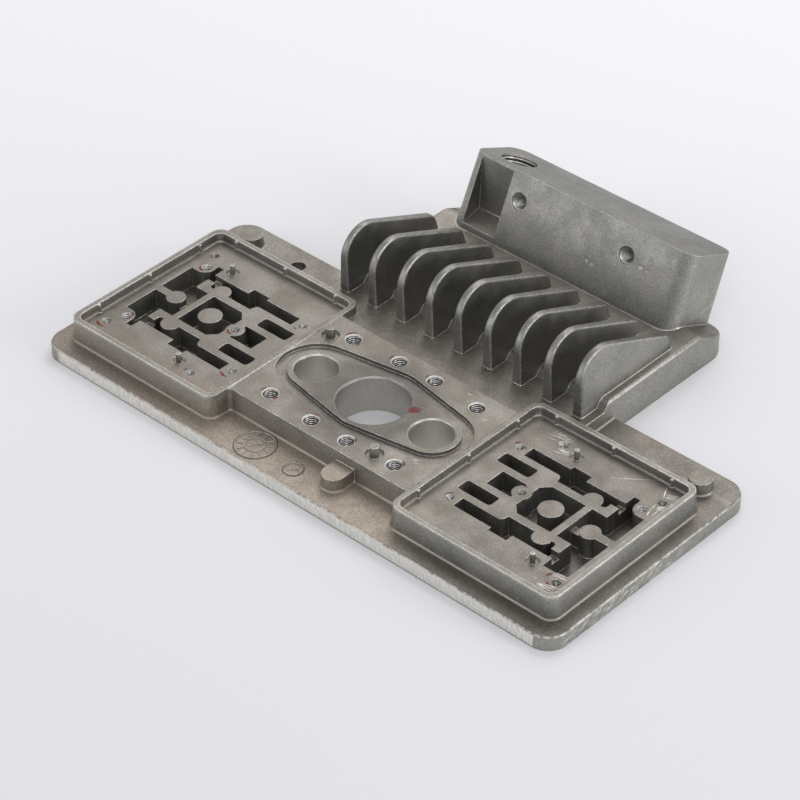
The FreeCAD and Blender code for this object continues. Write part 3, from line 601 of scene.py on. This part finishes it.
# %% [markdown]
# Over the skin lie the traces of its life, and painted light: glints painted as pale specks
# on grains, painted highlights on feet, painted shade in corners, worn edges and rims with
# painted highlights, bruises, the painted shade of the insert joints, and rust. Most of
# them are the same pale colour, and only their masks and strengths differ.

# %% Colour of wear and painted light
WORN_AND_HIGHLIGHT_PALE = "faf8f3"
FOOT_HIGHLIGHT = "b3aba1"
CORNER_SHADE = "4d473f"
JOINT_GROOVE_SHADE = "3f3b36"
RUST_SPOT = "5c4526"


def wear_and_painted_light_colour(tree, at, colour):
    """Colour with the traces of wear, painted highlights and painted shade over it."""
    shade_by_level = (at.z, -4.0, -2.8, 0.36, 0.2)
    return coats(
        tree,
        colour,
        # Painted glints: pale specks that stand in for highlights on the grains
        (WORN_AND_HIGHLIGHT_PALE, (at.noise["glints"], 0.69, 0.77), 0.42),
        # Painted highlight on the rounded feet of the walls
        (FOOT_HIGHLIGHT, foot_highlight_mask(tree, at), 0.6),
        # Painted shade in corners, found by ambient occlusion; less of it higher up and on
        # the flange front
        (CORNER_SHADE, corner_shade_mask(tree), shade_by_level, (at.skin, 0, 1, 1, 0.45)),
        # Worn edges, with a painted highlight on them
        (WORN_AND_HIGHLIGHT_PALE, at.edge, 0.9),
        (WORN_AND_HIGHLIGHT_PALE, at.bruise, 0.5),
        # Rubbed rims, with a painted highlight along their outer edges
        (WORN_AND_HIGHLIGHT_PALE, rim_wear_and_highlight_mask(tree, at), 0.68),
        # Painted highlights on the flange lip and on the fin edges
        (WORN_AND_HIGHLIGHT_PALE, lip_highlight_mask(tree, at), 0.45),
        (WORN_AND_HIGHLIGHT_PALE, fin_edge_highlight_mask(tree, at), 0.4),
        # Painted shade of the fine groove round each insert
        (JOINT_GROOVE_SHADE, joint_shade_mask(tree, at), 0.85),
        (RUST_SPOT, rust_mask(tree, at)),
    )


print("a worn edge gives back", round(linear(WORN_AND_HIGHLIGHT_PALE)[0], 3), "of the light")

# %% [markdown]
# What was cut is laid on last, because a cutter takes the skin and all its traces away.
# Bored walls keep the specks only faintly, and a filed face is streaked along its strokes.

# %% Colour of bored, tapped and filed metal
BORED_AND_LIT_GREY = "d9d6d1"
TAPPED_SHADE = "2e2c29"
TAPPED_MOUTH = "e4e3df"
FILED_BRIGHT = "e6e5e1"
FILED_DARK = "cac8c3"


def cut_colour(tree, at, colour):
    """Colour with what was bored, tapped and filed over it."""
    wall, mouth = tapped_masks(tree, at)
    streaks = coats(tree, linear(FILED_DARK), (FILED_BRIGHT, (at.cuts, 0.36, 0.64)))
    return coats(
        tree,
        colour,
        # Bright cut walls of bores and pins, in the side bores and dowel holes partly painted
        # light
        (speckled(tree, linear(BORED_AND_LIT_GREY), at.speck, 0.4), at.bored),
        (TAPPED_SHADE, wall),
        (TAPPED_MOUTH, mouth, 0.75),
        (streaks, at.band),
        (FILED_BRIGHT, at.touched, 0.85),
    )


print("a filed face gives back", round(linear(FILED_BRIGHT)[0], 3), "of the light")

# %% [markdown]
# Blasting leaves a fine relief that breaks up the light, so the same grain that specks the
# colour also lifts the surface, by a few hundredths of a millimetre, through the Bump
# node. Worn, bored and filed metal is smoother, and the brown skin is rougher.

# %% Roughness and relief
CAST_ROUGHNESS = 0.48
GRAIN_DEPTH = 0.03
WAVE_DEPTH = 0.05
BRUISE_DEPTH = 0.16


def metal_roughness(tree, at):
    """Roughness of the casting."""
    return total(
        tree,
        (at.edge, -0.12),
        (at.band, -0.1),
        (at.bored, -0.12),
        (at.skin, 0.1),
        ((at.noise["blotches"], 0.3, 0.7, -0.05, 0.06),),
        (CAST_ROUGHNESS,),
    )


def metal_relief(tree, at):
    """Direction of the surface with its fine relief, which is a height in millimetres."""
    height = total(
        tree,
        (at.noise["grain"], GRAIN_DEPTH),
        (at.noise["waves"], WAVE_DEPTH),
        (at.bruise, -BRUISE_DEPTH),
        (at.band, at.cuts, 0.07),
        (at.touched, at.side_cuts, 0.1),
    )
    inputs = {"Height": height, "Distance": MM, "Strength": 0.9, "Normal": at.rounded}
    return add(tree, "ShaderNodeBump", inputs).outputs[0]


print("grain", GRAIN_DEPTH, "mm deep, bruises", BRUISE_DEPTH, "mm")

# %% [markdown]
# The last cell of the metal puts all this together on one material: first the masks that
# more than one channel needs, then colour, roughness and relief.

# %% Blasted cast aluminium


def cast_aluminium():
    """Material of the casting."""
    material, tree = new_material("blasted_cast_aluminium")
    at = surface_point(tree)
    at.edge, at.rounded = edge_wear_and_highlight_mask(tree, at)
    at.skin = skin_mask(tree, at)
    at.bruise = bruise_mask(tree, at)
    at.bored = bored_and_lit_mask(tree, at)
    at.band, at.cuts = filed_front(tree, at)
    at.touched, at.side_cuts = filed_side(tree, at)
    at.speck = mask(tree, (at.noise["grain"], 0.3, 0.7, 0.76, 1.2))
    colour = speckled(tree, skin_colour(tree, at), at.speck)
    inputs = {
        "Base Color": cut_colour(tree, at, wear_and_painted_light_colour(tree, at, colour)),
        "Metallic": 1.0,
        "Roughness": metal_roughness(tree, at),
        "Normal": metal_relief(tree, at),
    }
    return closed(material, inputs)


casting = cast_aluminium()
housing.data.materials.clear()
housing.data.materials.append(casting)
print("housing faces", len(housing.data.polygons))

# %% [markdown]
# The tapped holes were cut after casting, so their thread crests show clean bright metal,
# and the roots are painted dark, as painted shade between the crests. How deep a point of
# a thread lies is kept with the mesh as a value named root_depth, and the material reads
# it. A tap leaves fine turning marks too, but they are lost at this size.

# %% Cut aluminium
CUT_GREY = "f0efec"
CUT_SHADE = "c9c7c2"
SCRAPED_GREY = "e2dfd9"
SCRAPED_SHADE = "c2bfb8"
ROOT_SHADE = "1f1d1b"
CUT_NOISES = {"patches": (1.2, 2.0, 0.5), "turning": (0.3, 2.0, 0.5)}


def cut_aluminium(name, bright, shade, roughness):
    """Material of what a tap or a file has cut."""
    material, tree = new_material(name)
    noise = patterns(tree, place_in_mm(tree), CUT_NOISES)
    depth = add(tree, "ShaderNodeAttribute", attribute_name="root_depth").outputs["Fac"]
    inputs = {"Height": noise["turning"], "Distance": 0.02 * MM}
    bump = add(tree, "ShaderNodeBump", inputs)
    patches = (noise["patches"], 0.35, 0.65)
    spread = (noise["turning"], 0.2, 0.8, roughness - 0.07, roughness + 0.07)
    inputs = {
        # Painted shade darkens the thread roots, by their root_depth
        "Base Color": coats(
            tree, linear(shade), (bright, patches), (ROOT_SHADE, (depth, 0.22, 0.6))
        ),
        "Metallic": 1.0,
        "Roughness": mask(tree, spread),
        "Normal": bump.outputs[0],
    }
    return closed(material, inputs)


tapped = cut_aluminium("tapped_aluminium", CUT_GREY, CUT_SHADE, 0.37)
scraped = cut_aluminium("scraped_aluminium", SCRAPED_GREY, SCRAPED_SHADE, 0.45)

# %% [markdown]
# A piece made here is a mesh object. This helper takes points and faces, makes the
# object, gives it its material and lets it ride with the casting.

# %% One helper for every new piece


def piece(name, points, faces, material, smooth=True):
    """Mesh object from points in metres, riding on the casting."""
    mesh = bpy.data.meshes.new(name)
    mesh.from_pydata(points, [], faces)
    mesh.validate()
    mesh.update()
    for polygon in mesh.polygons:
        polygon.use_smooth = smooth
    mesh.materials.append(material)
    made = bpy.data.objects.new(name, mesh)
    bpy.context.scene.collection.objects.link(made)
    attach(made, "root")
    print(name, len(mesh.polygons), "faces")
    return made


# %% [markdown]
# A thread is one ridge that winds down the hole's wall. It could be faked with rings, but
# rings don't rise, and the eye sees that in a hole this open. So the ridge's section, a
# 60 degree tooth with a flat crest, is carried round a helix. At its ends the tooth
# shrinks to nothing, as where a tap starts to cut.

# %% The thread ridge
TURN_STEPS = 28
ROOT_SINK = 0.04
# Height of the tooth as a share of the pitch
TOOTH_HEIGHT = 0.541


def helix_ridge(radius, pitch, length, mouth):
    """Points, depths and faces of one thread ridge, going down from a mouth at the origin."""
    height = TOOTH_HEIGHT * pitch
    section = [(ROOT_SINK, -0.46), (0.0, -0.44), (-height, -0.13)]
    section += [(-height, 0.13), (0.0, 0.44), (ROOT_SINK, 0.46)]
    points = []
    depths = []
    faces = []
    steps = int((length - mouth) / pitch * TURN_STEPS)
    for step in range(steps + 1):
        angle = 2 * math.pi * step / TURN_STEPS
        z = -mouth - pitch / 4 - pitch * step / TURN_STEPS
        fade = min(1.0, step / TURN_STEPS * 2, (steps - step) / TURN_STEPS * 2)
        for out, along in section:
            reach = radius + (out if out > 0 else out * fade)
            down = z + along * pitch
            points.append(metres(reach * math.cos(angle), reach * math.sin(angle), down))
            depths.append(0.0 if out < 0 else 1.0)
    count = len(section)
    for step in range(steps):
        for i in range(count - 1):
            a = step * count + i
            faces.append((a, a + 1, a + count + 1, a + count))
    return points, depths, faces


# shade_in_roots scales the painted shade in the thread roots
def threads(name, holes, radius, pitch, length, mouth, shade_in_roots=1.0):
    """One piece with the thread of each hole, given as (mouth centre, direction out)."""
    ridge, depths, ridge_faces = helix_ridge(radius, pitch, length, mouth)
    points = []
    faces = []
    for centre, outward in holes:
        turn = UP.rotation_difference(outward).to_matrix().to_4x4()
        move = Matrix.Translation(centre) @ turn
        first = len(points)
        points += [move @ point for point in ridge]
        faces += [[first + i for i in face] for face in ridge_faces]
    made = piece(name, points, faces, tapped)
    stored = made.data.attributes.new("root_depth", "FLOAT", "POINT")
    stored.data.foreach_set("value", [shade_in_roots * depth for depth in depths] * len(holes))
    return made


print("faces in one turn of a thread", 5 * TURN_STEPS)

# %% [markdown]
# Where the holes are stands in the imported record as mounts. A screw pattern gives its
# middle and spacing, and a single hole gives a point on its wall and the way out of it.

# %% Threads of the deck, the block and the port
mounts = {mount["name"]: mount for mount in frame["record"]["mounts"]}
# Threads as (radius of the hole's wall, pitch)
DECK_M5 = (2.5, 0.8)
QUARTER_INCH_PIPE = (6.58, 1.337)
BLOCK_M6 = (3.0, 1.0)


def pattern_holes(name):
    """Mouths of a rectangular screw pattern on the deck."""
    dims = mounts[name]["dims"]
    found = []
    for side_x in (-0.5, 0.5):
        for side_y in (-0.5, 0.5):
            x = side_x * dims["spacing_x_mm"]
            y = side_y * dims["spacing_y_mm"]
            found.append((metres(x, y, DECK), UP))
    return found


def single_hole(name, wall_start):
    """Mouth of one hole: its record point lies wall_start millimetres and more inside."""
    mount = mounts[name]
    outward = Vector(mount["axis"]).normalized()
    return (Vector(mount["pos_m"]) + outward * wall_start * MM, outward)


deck_holes = pattern_holes("deck_outer_screws") + pattern_holes("deck_middle_screws")
threads("deck_threads", deck_holes, *DECK_M5, 8.0, 0.4)
port_hole = [single_hole("threaded_port", 3.0)]
threads("port_thread", port_hole, *QUARTER_INCH_PIPE, 10.6, 0.5)
block_holes = [single_hole(name, 2.0) for name in ("block_left_screw", "block_right_screw")]
threads("block_threads", block_holes, *BLOCK_M6, 9.0, 0.25, shade_in_roots=0.4)

# %% [markdown]
# The small screw holes in the pocket floors take fine M3 screws, and four wider ones take
# M4. Their places are measured from the free round post of each labyrinth. The left pocket
# mirrors the right one but for a few holes. Some holes get less painted shade in their
# thread roots and look paler inside.

# %% Threads of the pocket floors
POCKET_M3 = (1.5, 0.5)
POCKET_M4 = (1.8, 0.7)
# Distance of each labyrinth's free post from the middle of the deck
POST_U = 76.9
DARKER_SCREWS = [(-12.2, 0.0), (24.3, 25.9)]
PALER_SCREWS = [(-27.7, 17.0), (-27.7, -17.0)]
CORNER_SCREW = (24.3, -25.9)
LONE_SCREW = (-18.2, -27.3)
WIDE_SCREWS = [(1, 21.2, 19.3), (1, -18.2, 27.3), (-1, 21.2, 19.3), (-1, 21.2, -19.3)]


def pocket_place(side, forward, y):
    """A place on a pocket's floor; side is +1 for the right pocket, -1 for the left."""
    return metres(side * (POST_U + forward), y, POCKET_FLOOR)


def both_pockets(places):
    """Mouths of the same holes in both pockets."""
    return [(pocket_place(side, u, y), UP) for side in (-1, 1) for u, y in places]


darker_holes = both_pockets(DARKER_SCREWS) + [(pocket_place(1, *CORNER_SCREW), UP)]
threads("pocket_threads", darker_holes, *POCKET_M3, 4.0, 0.1)
paler_holes = both_pockets(PALER_SCREWS) + [(pocket_place(-1, *CORNER_SCREW), UP)]
paler_holes.append((pocket_place(-1, *LONE_SCREW), UP))
threads("paler_threads", paler_holes, *POCKET_M3, 4.0, 0.1, shade_in_roots=0.55)
wide_holes = [(pocket_place(*place), UP) for place in WIDE_SCREWS]
threads("wide_threads", wide_holes, *POCKET_M4, 4.2, 0.1, shade_in_roots=0.48)

# %% [markdown]
# Foundries set a round insert into the die that stamps a date wheel beside the deck: an
# outer ring, twelve spokes for the months and an inner ring round an arrow. Such marks
# are a few tenths of a millimetre high. They could be drawn with bump, but their flanks
# catch the light as real edges do, so rings are turned from a small dome and spokes are
# low ridges.

# %% Date wheel and small insert mark
RELIEF = 0.42
RING_STEPS = 72
# Rings as (centre, radius, width), arrows as (centre, half length)
RINGS = [(WHEEL, 6.8, 0.5), (WHEEL, 3.5, 0.45), (SMALL_MARK, 3.1, 0.45)]
ARROWS = [(WHEEL, 2.4), (SMALL_MARK, 1.9)]
ARROW_AIM = 60
BARB_TURN = 38
SPOKE_START = 4.1
SPOKE_END = 6.2
RIDGE_WIDTH = 0.45


def ring(points, faces, centre, radius, width):
    """Low domed ring on the flange."""
    first = len(points)
    section = [(-0.5, -0.1), (-0.3, 0.8), (0.0, 1.0), (0.3, 0.8), (0.5, -0.1)]
    for step in range(RING_STEPS):
        angle = 2 * math.pi * step / RING_STEPS
        for across, up in section:
            reach = radius + across * width
            x = centre[0] + reach * math.cos(angle)
            y = centre[1] + reach * math.sin(angle)
            points.append(metres(x, y, FLANGE_TOP + up * RELIEF))
    count = len(section)
    for step in range(RING_STEPS):
        for i in range(count - 1):
            a = step * count + i
            b = (a + count) % (RING_STEPS * count)
            faces.append((first + a, first + b, first + b + 1, first + a + 1))


def ridge(points, faces, start, end, width):
    """Low roof shaped ridge on the flange between two places."""
    along = (Vector(end) - Vector(start)).normalized()
    across = Vector((-along.y, along.x)) * width / 2
    first = len(points)
    for place in (Vector(start), Vector(end)):
        for offset, up in ((-1, -0.1), (-0.4, 0.9), (0.4, 0.9), (1, -0.1)):
            spot = place + across * offset
            points.append(metres(spot.x, spot.y, FLANGE_TOP + up * RELIEF))
    for i in range(3):
        faces.append((first + i, first + i + 4, first + i + 5, first + i + 1))
    faces.append((first + 3, first + 2, first + 1, first))
    faces.append((first + 4, first + 5, first + 6, first + 7))


def around(centre, radius, degrees):
    """The place at a radius and an angle round a centre."""
    angle = math.radians(degrees)
    return (centre[0] + radius * math.cos(angle), centre[1] + radius * math.sin(angle))


def date_wheel():
    """Rings, spokes and arrow of the date wheel, and the small ringed mark beside it."""
    points = []
    faces = []
    for centre, radius, width in RINGS:
        ring(points, faces, centre, radius, width)
    for month in range(12):
        start = around(WHEEL, SPOKE_START, 30 * month)
        ridge(points, faces, start, around(WHEEL, SPOKE_END, 30 * month), RIDGE_WIDTH)
    for centre, reach in ARROWS:
        tip = around(centre, reach, ARROW_AIM)
        ridge(points, faces, around(centre, reach, ARROW_AIM + 180), tip, 0.5)
        for side in (-1, 1):
            back = around(tip, reach * 0.6, ARROW_AIM + 180 + BARB_TURN * side)
            ridge(points, faces, tip, back, RIDGE_WIDTH)
    return piece("date_wheel", points, faces, casting, smooth=False)


date_wheel()

# %% [markdown]
# An inspector ticked the holes with a red paint marker. What is left is thin, rubbed
# and patchy. It could be one more coat of the metal's material, but a film of its own is
# easier to place and to take off. Each tick hugs its hole, a few hundredths of a
# millimetre over the metal, and noise eats holes into it so that metal shows through.

# %% Red marker paint
PAINT_RED = "7e2620"
PAINT_LIFT = 0.03
PAINT_NOISES = {"gaps": (0.9, 4.0, 0.7), "tone": (0.5, 2.0, 0.5)}


def marker_paint():
    """Worn red paint: patchy, matt, with bare metal between."""
    material, tree = new_material("red_marker_paint")
    noise = patterns(tree, place_in_mm(tree), PAINT_NOISES)
    there = mask(tree, (noise["gaps"], 0.36, 0.5, 0.0, 0.94))
    tone = mask(tree, (noise["tone"], 0.3, 0.7, 0.8, 1.2))
    colour = speckled(tree, linear(PAINT_RED), tone)
    return closed(material, {"Base Color": colour, "Roughness": 0.6, "Alpha": there})


TICK_STEPS = 10
# Marks as (hole x, hole y, mark x, mark y, length, width) in millimetres
DECK_TICKS = [
    (-27.9, 20.0, -30.9, 21.9, 4.4, 0.8),
    (-27.9, 20.0, -24.8, 18.9, 1.8, 0.7),
    (-8.0, 21.3, -11.6, 21.2, 2.4, 0.7),
    (8.0, 21.3, 4.4, 21.6, 1.8, 0.6),
    (-27.9, -20.0, -31.2, -19.9, 2.6, 0.8),
    (-27.9, -20.0, -24.8, -20.9, 1.8, 0.7),
    (-8.0, -21.3, -8.6, -18.2, 3.6, 0.6),
    (8.0, -21.3, 10.1, -19.1, 2.0, 0.8),
    (27.9, -20.0, 29.9, -17.6, 2.8, 0.9),
    (21.7, -3.5, 14.2, 4.5, 3.6, 0.9),
    (21.7, -3.5, 13.7, 5.1, 4.8, 0.8),
    (21.7, -3.5, 13.2, 5.7, 4.2, 0.9),
    (21.7, -3.5, 12.7, 6.2, 2.6, 0.7),
]
POCKET_TICKS = [
    (-101.2, 25.9, -99.8, 26.6, 1.8, 0.7),
    (-98.1, 19.3, -99.2, 17.1, 3.4, 0.8),
    (-98.1, -19.3, -97.2, -17.1, 2.2, 0.8),
    (-101.2, -25.9, -101.9, -28.9, 4.6, 1.0),
    (-49.2, 17.0, -50.4, 14.4, 2.0, 0.6),
    (-64.7, 0.0, -65.6, -2.5, 3.2, 0.8),
    (-58.7, -27.3, -61.3, -26.8, 2.0, 0.6),
    (-49.2, -17.0, -50.1, -20.6, 4.0, 1.0),
    (49.2, 17.0, 47.1, 18.3, 2.2, 0.7),
    (49.2, 17.0, 50.9, 17.9, 1.4, 0.5),
    (64.7, 0.0, 63.8, 3.0, 1.6, 0.5),
    (49.2, -17.0, 47.7, -15.9, 3.2, 0.7),
    (98.1, 19.3, 97.6, 16.6, 1.6, 0.5),
    (101.2, -25.9, 97.0, -24.3, 2.2, 1.2),
    (101.2, -25.9, 100.0, -28.4, 3.0, 1.2),
]


def ticks(name, marks, level):
    """Films of paint bent round their holes, thinner towards both ends."""
    points = []
    faces = []
    for hole_x, hole_y, x, y, length, width in marks:
        radius = math.hypot(x - hole_x, y - hole_y)
        middle = math.atan2(y - hole_y, x - hole_x)
        first = len(points)
        for step in range(TICK_STEPS + 1):
            share = step / TICK_STEPS - 0.5
            angle = middle + share * length / radius
            thick = width / 2 * math.sqrt(max(0.05, 1 - 4 * share * share))
            for side in (-1, 1):
                reach = radius + side * thick
                spot_x = hole_x + reach * math.cos(angle)
                spot_y = hole_y + reach * math.sin(angle)
                points.append(metres(spot_x, spot_y, level + PAINT_LIFT))
        for step in range(TICK_STEPS):
            a = first + 2 * step
            faces.append((a, a + 1, a + 3, a + 2))
    return piece(name, points, faces, paint)


paint = marker_paint()
ticks("deck_ticks", DECK_TICKS, DECK)
ticks("pocket_ticks", POCKET_TICKS, POCKET_FLOOR)

# %% [markdown]
# Burrs beside some pocket holes were knocked off with a file, and a few long scratches
# run over the floor. Noise can't give straight strokes that start and stop, so each one is
# a hair thin ribbon of bright metal. A fixed seed makes the spread look chance made and
# yet come out the same on every run.

# %% File strokes and scratches
random.seed(11)
# Patches as (x, y, length, width, count, direction in degrees)
FILE_PATCHES = [
    (56.9, 28.9, 10.0, 6.4, 17, 10),
    (61.3, 24.5, 5.0, 2.4, 6, 10),
    (101.4, 29.9, 5.0, 2.6, 4, 24),
    (99.6, -29.6, 7.0, 4.4, 9, 12),
    (100.0, -22.8, 6.0, 2.0, 4, 12),
    (103.0, 23.6, 4.0, 2.4, 6, 30),
]
# Each stroke lies a hair above the floor and the one before it
STROKE_LIFT = 0.02
STROKE_STEP = 0.0003
SCRATCH_LIFT = 0.03
# Screw holes of the right pocket, which a stroke may not bridge
HOLES_NEAR = [*DARKER_SCREWS, CORNER_SCREW, *[place[1:] for place in WIDE_SCREWS[:2]]]
HOLE_CLEARANCE = 2.1
# Scratches as (start, end, width, level of the surface below)
SCRATCHES = [
    ((97.0, 33.7), (100.3, 27.2), 0.4, POCKET_FLOOR),
    ((100.1, 24.4), (100.6, 20.6), 0.3, POCKET_FLOOR),
    ((100.5, 21.0), (101.5, 17.2), 0.35, POCKET_FLOOR),
    ((102.5, 23.0), (102.9, 18.0), 0.3, POCKET_FLOOR),
    ((96.0, 33.4), (99.0, 34.0), 0.3, POCKET_FLOOR),
    ((80.0, 23.8), (94.3, 34.6), 0.25, POCKET_FLOOR),
    ((30.4, -14.6), (32.4, -13.2), 0.3, DECK),
    ((31.6, -15.2), (33.4, -14.3), 0.25, DECK),
    ((20.2, 23.2), (22.6, 23.9), 0.35, DECK),
    ((33.6, 15.8), (34.8, 17.6), 0.4, DECK),
]


def stroke(points, faces, start, end, width, level):
    """Thin flat ribbon that narrows to both ends."""
    along = (Vector(end) - Vector(start)).normalized()
    across = Vector((-along.y, along.x)) * width / 2
    first = len(points)
    middle = (Vector(start) + Vector(end)) / 2
    for spot in (Vector(start), middle + across, Vector(end), middle - across):
        points.append(metres(spot.x, spot.y, level))
    faces.append((first, first + 3, first + 2, first + 1))


def over_a_hole(start, end):
    """Whether a stroke would run over one of the small holes of the right pocket."""
    for forward, y in HOLES_NEAR:
        hole = Vector((POST_U + forward, y))
        along = Vector(end) - Vector(start)
        share = (hole - Vector(start)).dot(along) / along.length_squared
        nearest = Vector(start) + along * min(1.0, max(0.0, share))
        if (hole - nearest).length < HOLE_CLEARANCE:
            return True
    return False


def floor_scratches():
    """File strokes in patches, and single scratches."""
    points = []
    faces = []
    level = POCKET_FLOOR + STROKE_LIFT
    for x, y, length, width, count, turn in FILE_PATCHES:
        for step in range(count):
            across = ((step + random.uniform(0.1, 0.9)) / count - 0.5) * width
            for _ in range(2):
                slip = random.uniform(-0.3, 0.3) * length
                reach = random.uniform(0.35, 0.95) * length / 2
                aim = turn + random.uniform(-1.5, 1.5)
                middle = around(around((x, y), across, turn + 90), slip, turn)
                start = around(middle, reach, aim + 180)
                end = around(middle, reach, aim)
                thick = random.uniform(0.14, 0.3)
                if not over_a_hole(start, end):
                    stroke(points, faces, start, end, thick, level)
                level += STROKE_STEP
    for start, end, width, surface in SCRATCHES:
        stroke(points, faces, start, end, width, surface + SCRATCH_LIFT)
    return piece("floor_scratches", points, faces, scraped, smooth=False)


floor_scratches()

# %% [markdown]
# The part lies on a pale matt table under soft studio light. As the camera sees it, the
# table's colour is painted a touch darker in front than behind, as painted light falloff.
# What the metal mirrors of it is a paler copy, painted light for the walls, so rays that
# don't come from the camera meet one even pale colour.

# %% Floor
FLOOR_NEAR = "e7e7eb"
FLOOR_FAR = "fbfbfd"
FLOOR_GLOW = "fafafa"
FLOOR_HALF = 2.0


def studio_floor():
    """Matt pale floor at the underside of the part."""
    material, tree = new_material("pale_studio_floor")
    seen = add(tree, "ShaderNodeLightPath").outputs["Is Camera Ray"]
    x, y, _ = add(tree, "ShaderNodeSeparateXYZ", {0: place_in_mm(tree)}).outputs
    away = total(tree, (y,), (x, -0.75))
    # Painted light falloff: darker in front and lighter behind, as the camera sees the table
    painted_falloff = coats(tree, linear(FLOOR_NEAR), (FLOOR_FAR, (away, -260, 460)))
    # Rays from the metal meet a paler copy, painted light for the walls
    colour = coats(tree, linear(FLOOR_GLOW), (painted_falloff, seen))
    inputs = {"Base Color": colour, "Roughness": 0.85, "Specular IOR Level": 0.2}
    mesh = bpy.data.meshes.new("studio_floor")
    corners = [(-1, -1), (1, -1), (1, 1), (-1, 1)]
    points = [(x * FLOOR_HALF, y * FLOOR_HALF, UNDERSIDE * MM) for x, y in corners]
    mesh.from_pydata(points, [], [(0, 1, 2, 3)])
    mesh.materials.append(closed(material, inputs))
    floor = bpy.data.objects.new("studio_floor", mesh)
    bpy.context.scene.collection.objects.link(floor)
    return floor


studio_floor()

# %% [markdown]
# Four soft lights stand round the table. The wide one overhead and behind models the
# tops, the one near the camera opens what faces it, and a low one on either side gives
# the upright walls something pale to mirror. The pale world fills the rest.

# %% Lamps and world


def area_lamp(name, place, aim, size, power, colour):
    """Square soft light at a place in metres, aimed at a point."""
    data = bpy.data.lights.new(name, "AREA")
    data.size = size
    data.energy = power
    data.color = linear(colour)[:3]
    lamp = bpy.data.objects.new(name, data)
    lamp.location = place
    lamp.rotation_euler = (Vector(aim) - Vector(place)).to_track_quat("-Z", "Y").to_euler()
    bpy.context.scene.collection.objects.link(lamp)
    print(name, power, "W")


def studio_world(colour, strength):
    """Pale light from all round."""
    world = bpy.data.worlds.new("studio_world")
    world.use_nodes = True
    tree = world.node_tree
    tree.nodes.clear()
    inputs = {"Color": linear(colour), "Strength": strength}
    background = add(tree, "ShaderNodeBackground", inputs)
    add(tree, "ShaderNodeOutputWorld", {"Surface": background.outputs[0]})
    bpy.context.scene.world = world
    print("world", strength)


area_lamp("overhead_softbox", (-0.4, 1.0, 1.25), (0, 0.25, 0), 1.1, 8.1, "fffdfb")
area_lamp("camera_softbox", (0.75, -0.85, 1.25), (0, 0, 0), 0.9, 4.9, "ffffff")
area_lamp("left_softbox", (-0.75, -1.15, 0.35), (0, 0.02, 0), 0.8, 3.2, "ffffff")
area_lamp("right_softbox", (1.35, 0.45, 0.4), (0, 0.02, 0), 0.8, 7.3, "ffffff")
studio_world("f2f3f6", 0.585)

# %% [markdown]
# The photographer stood off the right front corner and looked down at the part. The
# camera is placed by those angles, by its distance to the point in the middle of the
# picture, and by a lens long enough to keep the edges almost parallel.

# %% Camera
AZIMUTH = math.radians(43.133)
ELEVATION = math.radians(37.864)
ROLL = math.radians(-0.575)
DISTANCE = 1.02046
SIDE_STEP = 0.00872
RISE = 0.000104
SENSOR = 36.0
FOCAL = 139.54


def studio_camera():
    """Camera at the photographer's place."""
    back = Vector(
        (
            math.sin(AZIMUTH) * math.cos(ELEVATION),
            -math.cos(AZIMUTH) * math.cos(ELEVATION),
            math.sin(ELEVATION),
        )
    )
    level_right = Vector((math.cos(AZIMUTH), math.sin(AZIMUTH), 0))
    level_up = back.cross(level_right)
    right = level_right * math.cos(ROLL) + level_up * math.sin(ROLL)
    up = level_up * math.cos(ROLL) - level_right * math.sin(ROLL)
    aim = right * SIDE_STEP + up * RISE
    data = bpy.data.cameras.new("studio_camera")
    data.sensor_width = SENSOR
    data.lens = FOCAL
    camera = bpy.data.objects.new("studio_camera", data)
    turn = Matrix((right, up, back)).transposed().to_4x4()
    camera.matrix_world = Matrix.Translation(aim + back * DISTANCE) @ turn
    bpy.context.scene.collection.objects.link(camera)
    bpy.context.scene.camera = camera
    print("camera at", [round(value, 4) for value in camera.location])


studio_camera()
bpy.context.scene.view_settings.view_transform = "Standard"

# %% [markdown]
# The dressed model has to stay inside the box of the CAD model.
